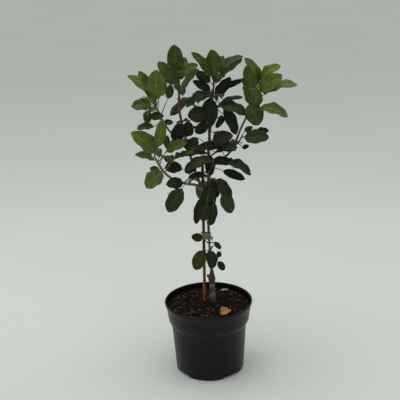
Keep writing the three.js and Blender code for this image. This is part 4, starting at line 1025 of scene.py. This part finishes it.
def apple_leaf(name, tint_below, back, vein, roughness):
    """Leaf skin: the leaf's own tint, mottled, lighter along its veins and greyer below, where
    only a share of the tint shows."""
    material, tree, shader, where = finish(name, Specular_IOR_Level=0.14)
    shares = ("share", "across", "upper")
    share, across, upper = (node(tree, "ShaderNodeAttribute", out=2, attribute_name=n) for n in shares)
    tint = node(tree, "ShaderNodeAttribute", out=1, attribute_name="tint")
    off_rib = across.then("ABSOLUTE")
    mottle = grain(tree, where, 110.0, 4.0)
    fine = grain(tree, where, 900.0, 3.0)
    beat = ((share * LEAF["Veins"] - off_rib * VEIN_SLANT).then("FRACT") - 0.5).then("ABSOLUTE")
    side_vein = ramp(tree, beat, 0.10, 0.0) * ramp(tree, off_rib, 1.0, 0.7)
    rib = ramp(tree, off_rib, 0.1, 0.03) * ramp(tree, share, 1.0, 0.75)
    shade = ramp(tree, mottle * 0.8 + fine * 0.3, 0.3, 0.85)
    top = tint * (shade * 0.55 + 0.72 + side_vein * 0.16 + rib * 0.5)
    top = between(tree, rib * 0.06, top, linear(vein))
    under = between(tree, side_vein * 0.15 + rib * 0.3, linear(back), linear(vein))
    under = between(tree, tint_below, under, tint)
    plug(tree, shader["Base Color"], between(tree, ramp(tree, upper, 0.4, 0.6), under, top))
    plug(tree, shader["Roughness"], (1.0 - upper) * 0.2 + fine * 0.12 + roughness)
    relief(tree, shader, mottle * 0.5 + fine * 0.25 - side_vein * 0.5 - rib * 0.6, 0.0004)
    return material


def stalk_skin(name, light, dark):
    """Stalks and ribs: smooth, reddish near the twig and green under the blade."""
    material, tree, shader, where = finish(name, Roughness=0.5)
    run = node(tree, "ShaderNodeAttribute", out=2, attribute_name="run")
    share = ramp(tree, run * 1.4 + grain(tree, where, 120.0) * 0.5, 0.2, 0.85)
    plug(tree, shader["Base Color"], between(tree, share, linear(dark), linear(light)))
    relief(tree, shader, grain(tree, where, 1200.0), 0.0001)
    return material


def twig_bark(name, light, dark):
    """Young bark: smooth, flecked with pale breathing pores."""
    material, tree, shader, where = finish(name, Roughness=0.6)
    blotch = grain(tree, where, 130.0, 4.0)
    pore = ramp(tree, grain(tree, where, 900.0, 2.0, (1.0, 1.0, 0.5)), 0.64, 0.74)
    colour = between(tree, ramp(tree, blotch, 0.35, 0.7), linear(dark), linear(light))
    colour = between(tree, pore * 0.4, colour, linear(BARK_PEEL))
    plug(tree, shader["Base Color"], colour)
    relief(tree, shader, blotch + pore * 0.4, 0.0002)
    return material


def leaf_green_and_shade(slot, share, middle, chance):
    """A leaf's green: darkest on old wood inside the crown, where it also carries painted shade, freshest
    at the tips, and lighter towards the crown's edge as painted light.
    """
    spread = math.hypot(middle.x - CROWN_MIDDLE, middle.y) / CROWN_RADIUS
    # Painted shade: the nearer a leaf is to the crown's middle, the darker its green; painted light makes
    # it lighter towards the edge.
    youth_and_light = YOUTH_AND_SHADE[slot] + YOUTH_AT_TIP * (share - 0.9) + LIGHT_AT_CROWN_EDGE * (spread - 0.6)
    place = min(max(youth_and_light + YOUTH_CHANCE * chance, 0.0), 0.999) * (len(LEAF_GREENS) - 1)
    older, younger = (Vector(linear(LEAF_GREENS[int(place) + i])[:3]) for i in (0, 1))
    return older.lerp(younger, place % 1)


def leaf_points(name, leaves, lines, leave_at, tint_of):
    """Twig lines and one point for each leaf, which carries all that the leaf's shape needs."""
    mesh = lines_mesh(name, lines)
    wood_count = len(mesh.vertices)
    mesh.vertices.add(len(leaves))
    random = np.random.default_rng(sum(map(ord, name)))
    rows = {"is_leaf": [0.0] * wood_count}
    vectors = {}
    for share, base, tip, width, face, arch, fold in leaves:
        base, chord = Vector(base), Vector(tip) - Vector(base)
        along = chord.normalized()
        up = Vector(face)
        up = (up - along * up.dot(along)).normalized()
        tint = tint_of(share, base + chord / 2, random.uniform(-1, 1))
        point = {
            "root": base * MM, "chord": chord * MM, "up": up, "side": along.cross(up),
            "leave": leave_at(share) * MM, "tint": tint,
        }
        turns = {
            "is_leaf": 1.0, "width": width * MM, "arch": arch, "fold": fold,
            "twist": random.uniform(-0.3, 0.3), "curl": random.uniform(-0.02, 0.06),
            "sway": random.uniform(-0.025, 0.025), "seed": random.uniform(0, 1),
        }
        for label, value in point.items():
            vectors.setdefault(label, [(0.0, 0.0, 0.0)] * wood_count).append(tuple(value))
        for label, value in turns.items():
            rows.setdefault(label, [0.0] * wood_count).append(value)
    for label, values in vectors.items():
        data = mesh.attributes.new(label, "FLOAT_VECTOR", "POINT").data
        data.foreach_set("vector", np.array(values, np.float32).ravel())
    for label, values in rows.items():
        data = mesh.attributes.new(label, "FLOAT", "POINT").data
        data.foreach_set("value", np.array(values, np.float32))
    roots = [(0.0, 0.0, 0.0)] * wood_count + vectors["root"][wood_count:]
    for vertex, root in list(zip(mesh.vertices, roots))[wood_count:]:
        vertex.co = root
    return mesh


def twig_start(leaves_from, toward, radius):
    """The middle of the wood that a twig leaves, and the point just off its bark."""
    if isinstance(leaves_from, tuple):
        parent, share = leaves_from
        middle, thick = twig_at(parent, share), SHOOTS[parent][3]
        along = (twig_at(parent, share + 0.02) - middle).normalized()
    else:
        middle, thick = trunk_at(leaves_from)
        along = (trunk_at(leaves_from + 2)[0] - middle).normalized()
    way = (Vector(toward) - middle).normalized()
    slant = way.dot(along)
    out = (way - along * slant).normalized()
    return middle, middle + out * (thick + 0.35 + radius * abs(slant))


def twig_points(shoot):
    slot, leaves_from, points, radius, leaves = SHOOTS[shoot]
    if leaves_from == "top":
        middle = Vector(TRUNK[-1][:3])
        return middle, [middle + Vector((0, 0, 1.05)), *points]
    middle, start = twig_start(leaves_from, points[0], radius)
    return middle, [start, *points]


def twig_at(shoot, share):
    return curve_at(twig_points(shoot)[1], min(share, 1.0))


twig_barks = {"": twig_bark("twig_bark", 0x4F4630, 0x2F281C)}
twig_barks["shoot_left_leader"] = twig_bark("red_twig_bark", 0x7E4A34, 0x4A281E)
twig_barks["shoot_left_low"] = twig_bark("green_twig_bark", 0x7E8650, 0x4E5430)
values = LEAF | {
    "Sides": SHOOT_SIDES, "Bark depth": 0.12 * MM,
    "Leaf": apple_leaf("apple_leaf", 0.35, LEAF_BACK, LEAF_VEIN, 0.36),
    "Stalk": stalk_skin("leaf_stalk", STALK_GREEN, STALK_RED),
}
leafy_shoot = shoot_tree()
for shoot, (slot, leaves_from, points, radius, leaves) in SHOOTS.items():
    middle, path = twig_points(shoot)
    steps = 10 * len(path)
    line = [curve_at(path, i / steps) for i in range(steps + 1)]
    radii = [radius * (1.35 - 0.45 * i / steps + 0.9 * math.exp(-i / 1.6)) for i in range(steps + 1)]
    lines = [([middle, *line], [radii[0], *radii])]
    for share, base, *_ in leaves:
        at = twig_at(shoot, share)
        onward = at - twig_at(shoot, share - 0.05)
        away = (Vector(base) - at).normalized() + onward * 0.4
        lines.append(bud(at, away, radius * 0.95))
    green = functools.partial(leaf_green_and_shade, slot)
    mesh = leaf_points(shoot, leaves, lines, functools.partial(twig_at, shoot), green)
    twig = {"Bark": twig_barks.get(shoot, twig_barks[""])}
    piece = grown(f"leafy_{shoot}", mesh, leafy_shoot, values | twig)
    placed(piece, slot, shoot)

# ---- Litter -----------------------------------------------------------------------------------
# What has dropped on the potting mix: two dead leaves, dried tan and curled up at their edges,
# and eight loose pieces of bark, split flat, in mottled dark browns.
DRY_LEAVES = {
    "dry_leaf_front": ((0.67, -55), 30, 24, 54, (0.1, -0.55, 1), 0.45, 0xA27A48),
    "dry_leaf_back": ((0.83, 60), 19, 8, 15, (0, -0.3, 1), 0.3, 0x9A8A5E),
}
DRY_LIFT, DRY_ARCH = 3.0, 0.05
CHIPS = [
    (0.735, 200, 16, 8, 23), (0.733, 232, 14, 7, 120), (0.754, 258, 17, 8, 69),
    (0.5, 280, 13, 7, 160), (0.743, 7, 15, 8, 52), (0.733, 38, 14, 7, 109),
    (0.73, 117, 16, 7, 11), (0.834, 160, 13, 7, 86),
]
CHIP_THICKNESS, CHIP_LIFT = 3.0, 2.3
CHIP_BROWNS = [0x140E0A, 0x2C211A, 0x54483E]
CHIP = {"Length": 15 * MM, "Width": 8 * MM, "Thickness": 3 * MM, "Seed": 0.0}


def over_mix(share, degrees, lift):
    """A point over the mound, at a share of its radius and a bearing."""
    turn = math.radians(degrees)
    height = MIX_EDGE + MIX_MOUND * math.cos(share * math.pi / 2) + lift
    return Vector((MIX_RADIUS * share * math.cos(turn), MIX_RADIUS * share * math.sin(turn), height))


def chip_tree():
    """A piece of bark: a block drawn in at its ends, split in layers, with rough edges."""
    tree, given, result = geometry_tree("bark_chip", CHIP, "Bark")
    counts = {"Vertices X": 14, "Vertices Y": 8, "Vertices Z": 4}
    block = node(tree, "GeometryNodeMeshCube", {"Size": (1.0, 1.0, 1.0)} | counts)
    where = node(tree, "GeometryNodeInputPosition")
    x, y, z = (node(tree, "ShaderNodeSeparateXYZ", {"Vector": where}, out=i) for i in (0, 1, 2))
    seed = node(tree, "ShaderNodeCombineXYZ", {"Z": given["Seed"] * 7.3})
    ragged = grain(tree, where + seed, 2.6, 5.0) - 0.5
    layer = grain(tree, where + seed, 7.0, 3.0, (0.5, 0.8, 3.0)) - 0.5
    end = x.then("ABSOLUTE") * 2.0
    drawn_in = 1.0 - end * end * 0.5
    wide = y * drawn_in * (ragged * 0.9 + 1.0) * given["Width"]
    long = x * (layer * 0.25 + 0.95) * given["Length"]
    tall = (z * (1.0 - end * end * 0.45) + ragged * 0.35 + layer * 0.18) * given["Thickness"]
    spot = node(tree, "ShaderNodeCombineXYZ", {"X": long, "Y": wide, "Z": tall})
    chip = node(tree, "GeometryNodeSetPosition", {"Geometry": block, "Position": spot})
    chip = keep(tree, chip, "shade", ragged + 0.45)
    tree.links.new(surfaced(tree, chip, given["Bark"]).socket, result)
    return tree


dry = {
    "Bark": apple_bark, "Leaf": apple_leaf("dry_leaf", 0.8, 0xA98A5C, 0x6E4B2A, 0.62),
    "Stalk": stalk_skin("dry_stalk", 0x6B4A2A, 0x3C281A), "Wave": 0.14, "Bark depth": 0.1 * MM,
}
for name, (spot, length, width, degrees, face, fold, colour) in DRY_LEAVES.items():
    middle = over_mix(*spot, DRY_LIFT)
    half = Vector((math.cos(math.radians(degrees)), math.sin(math.radians(degrees)), 0)) * (length / 2)
    leaf = (0, middle - half, middle + half, width, face, DRY_ARCH, fold)
    stub = [middle - half * 1.12, middle - half * 1.08, middle - half * 1.02]
    tan = Vector(linear(colour)[:3])
    line = (stub, (0.3, 0.6, 0.3))
    mesh = leaf_points(name, [leaf], [line], lambda share: stub[0], lambda *leaf_facts: tan)
    looks = LEAF | {"Sides": SHOOT_SIDES} | dry
    placed(grown(name.replace("dry", "curled"), mesh, leafy_shoot, looks), "dry_leaf", name)

bark_chip = chip_tree()
chip_brown = mixed_browns("bark_chip", CHIP_BROWNS, 0.85, 500.0, 0.0006)
for i, (share, degrees, length, width, turn) in enumerate(CHIPS):
    size = {"Length": length * MM, "Width": width * MM, "Seed": float(i)}
    size["Thickness"] = CHIP_THICKNESS * MM
    blank = mesh_of("bark_chip", [], [])
    chip = grown(f"loose_bark_{i + 1}", blank, bark_chip, size | {"Bark": chip_brown})
    place = Matrix.Translation(over_mix(share, degrees, CHIP_LIFT) * MM)
    chip.data.transform(place @ Matrix.Rotation(math.radians(turn), 4, "Z"))
    placed(chip, "bark_chip", f"bark_chip_{i + 1}")

# ---- Stage ------------------------------------------------------------------------------------
# A plain pale floor with no edge in sight, a broad soft light overhead, and a camera at standing
# height that looks down a little.
FLOOR_PALE, FLOOR_SHADE = 0xD5DAD8, 0xCBD0CC
FLOOR_REACH = 60
CAMERA_PLACE = (-0.012, -1.588, 0.9055)
CAMERA_DOWN, CAMERA_ROLL = 18.1, -1.7
CAMERA_LENS, CAMERA_SENSOR = 72, 36
WORLD_STRENGTH = 0.22
# Each light: its name, kind, size, power, place, and the way it is turned.
LIGHTS = [
    ("sky_panel", "SUN", 2.4, 1.4, (0, 0, 3), (0.15, -0.12, 0)),
    ("overhead", "AREA", 1.5, 14, (-0.2, 0.1, 2.2), (0, 0, 0)),
    ("left_panel", "AREA", 1.0, 3, (-1.7, 0.3, 1.0), (0, -1.2, 0)),
    ("right_panel", "AREA", 1.0, 3, (1.7, 0.3, 1.0), (0, 1.2, 0)),
]

corners = [(x * FLOOR_REACH, y * FLOOR_REACH, 0) for x, y in ((-1, -1), (1, -1), (1, 1), (-1, 1))]
floor_mesh = mesh_of("floor", corners, [(0, 1, 2, 3)], scale=1)
material, tree, shader, where = finish("pale_floor", Roughness=0.75, Specular_IOR_Level=0.25)
cloud = grain(tree, where, 1.2, 2.0)
plug(tree, shader["Base Color"], between(tree, cloud, linear(FLOOR_SHADE), linear(FLOOR_PALE)))
floor = stand("floor", floor_mesh, material)
floor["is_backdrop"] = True

world = bpy.data.worlds.new("studio")
world.use_nodes = True
world.node_tree.nodes["Background"].inputs["Color"].default_value = (0.97, 0.99, 0.95, 1.0)
world.node_tree.nodes["Background"].inputs["Strength"].default_value = WORLD_STRENGTH
bpy.context.scene.world = world
for name, kind, size, power, spot, tilt in LIGHTS:
    light = bpy.data.lights.new(name, kind)
    light.energy, light.color = power, (1.0, 1.0, 0.975)
    setattr(light, "angle" if kind == "SUN" else "size", size)
    lamp = bpy.data.objects.new(name, light)
    lamp.location, lamp.rotation_euler = spot, tilt
    bpy.context.scene.collection.objects.link(lamp)

lens = bpy.data.cameras.new("camera")
lens.lens, lens.sensor_width = CAMERA_LENS, CAMERA_SENSOR
camera = bpy.data.objects.new("camera", lens)
looking = Matrix.Rotation(math.radians(90 - CAMERA_DOWN), 4, "X")
leaning = Matrix.Rotation(math.radians(CAMERA_ROLL), 4, "Z")
camera.matrix_world = Matrix.Translation(CAMERA_PLACE) @ looking @ leaning
bpy.context.scene.collection.objects.link(camera)
bpy.context.scene.camera = camera
bpy.context.scene.view_settings.view_transform = "Standard"

size = {"cad": [list(c) for c in cad_box], "visual": [list(c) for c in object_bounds()]}
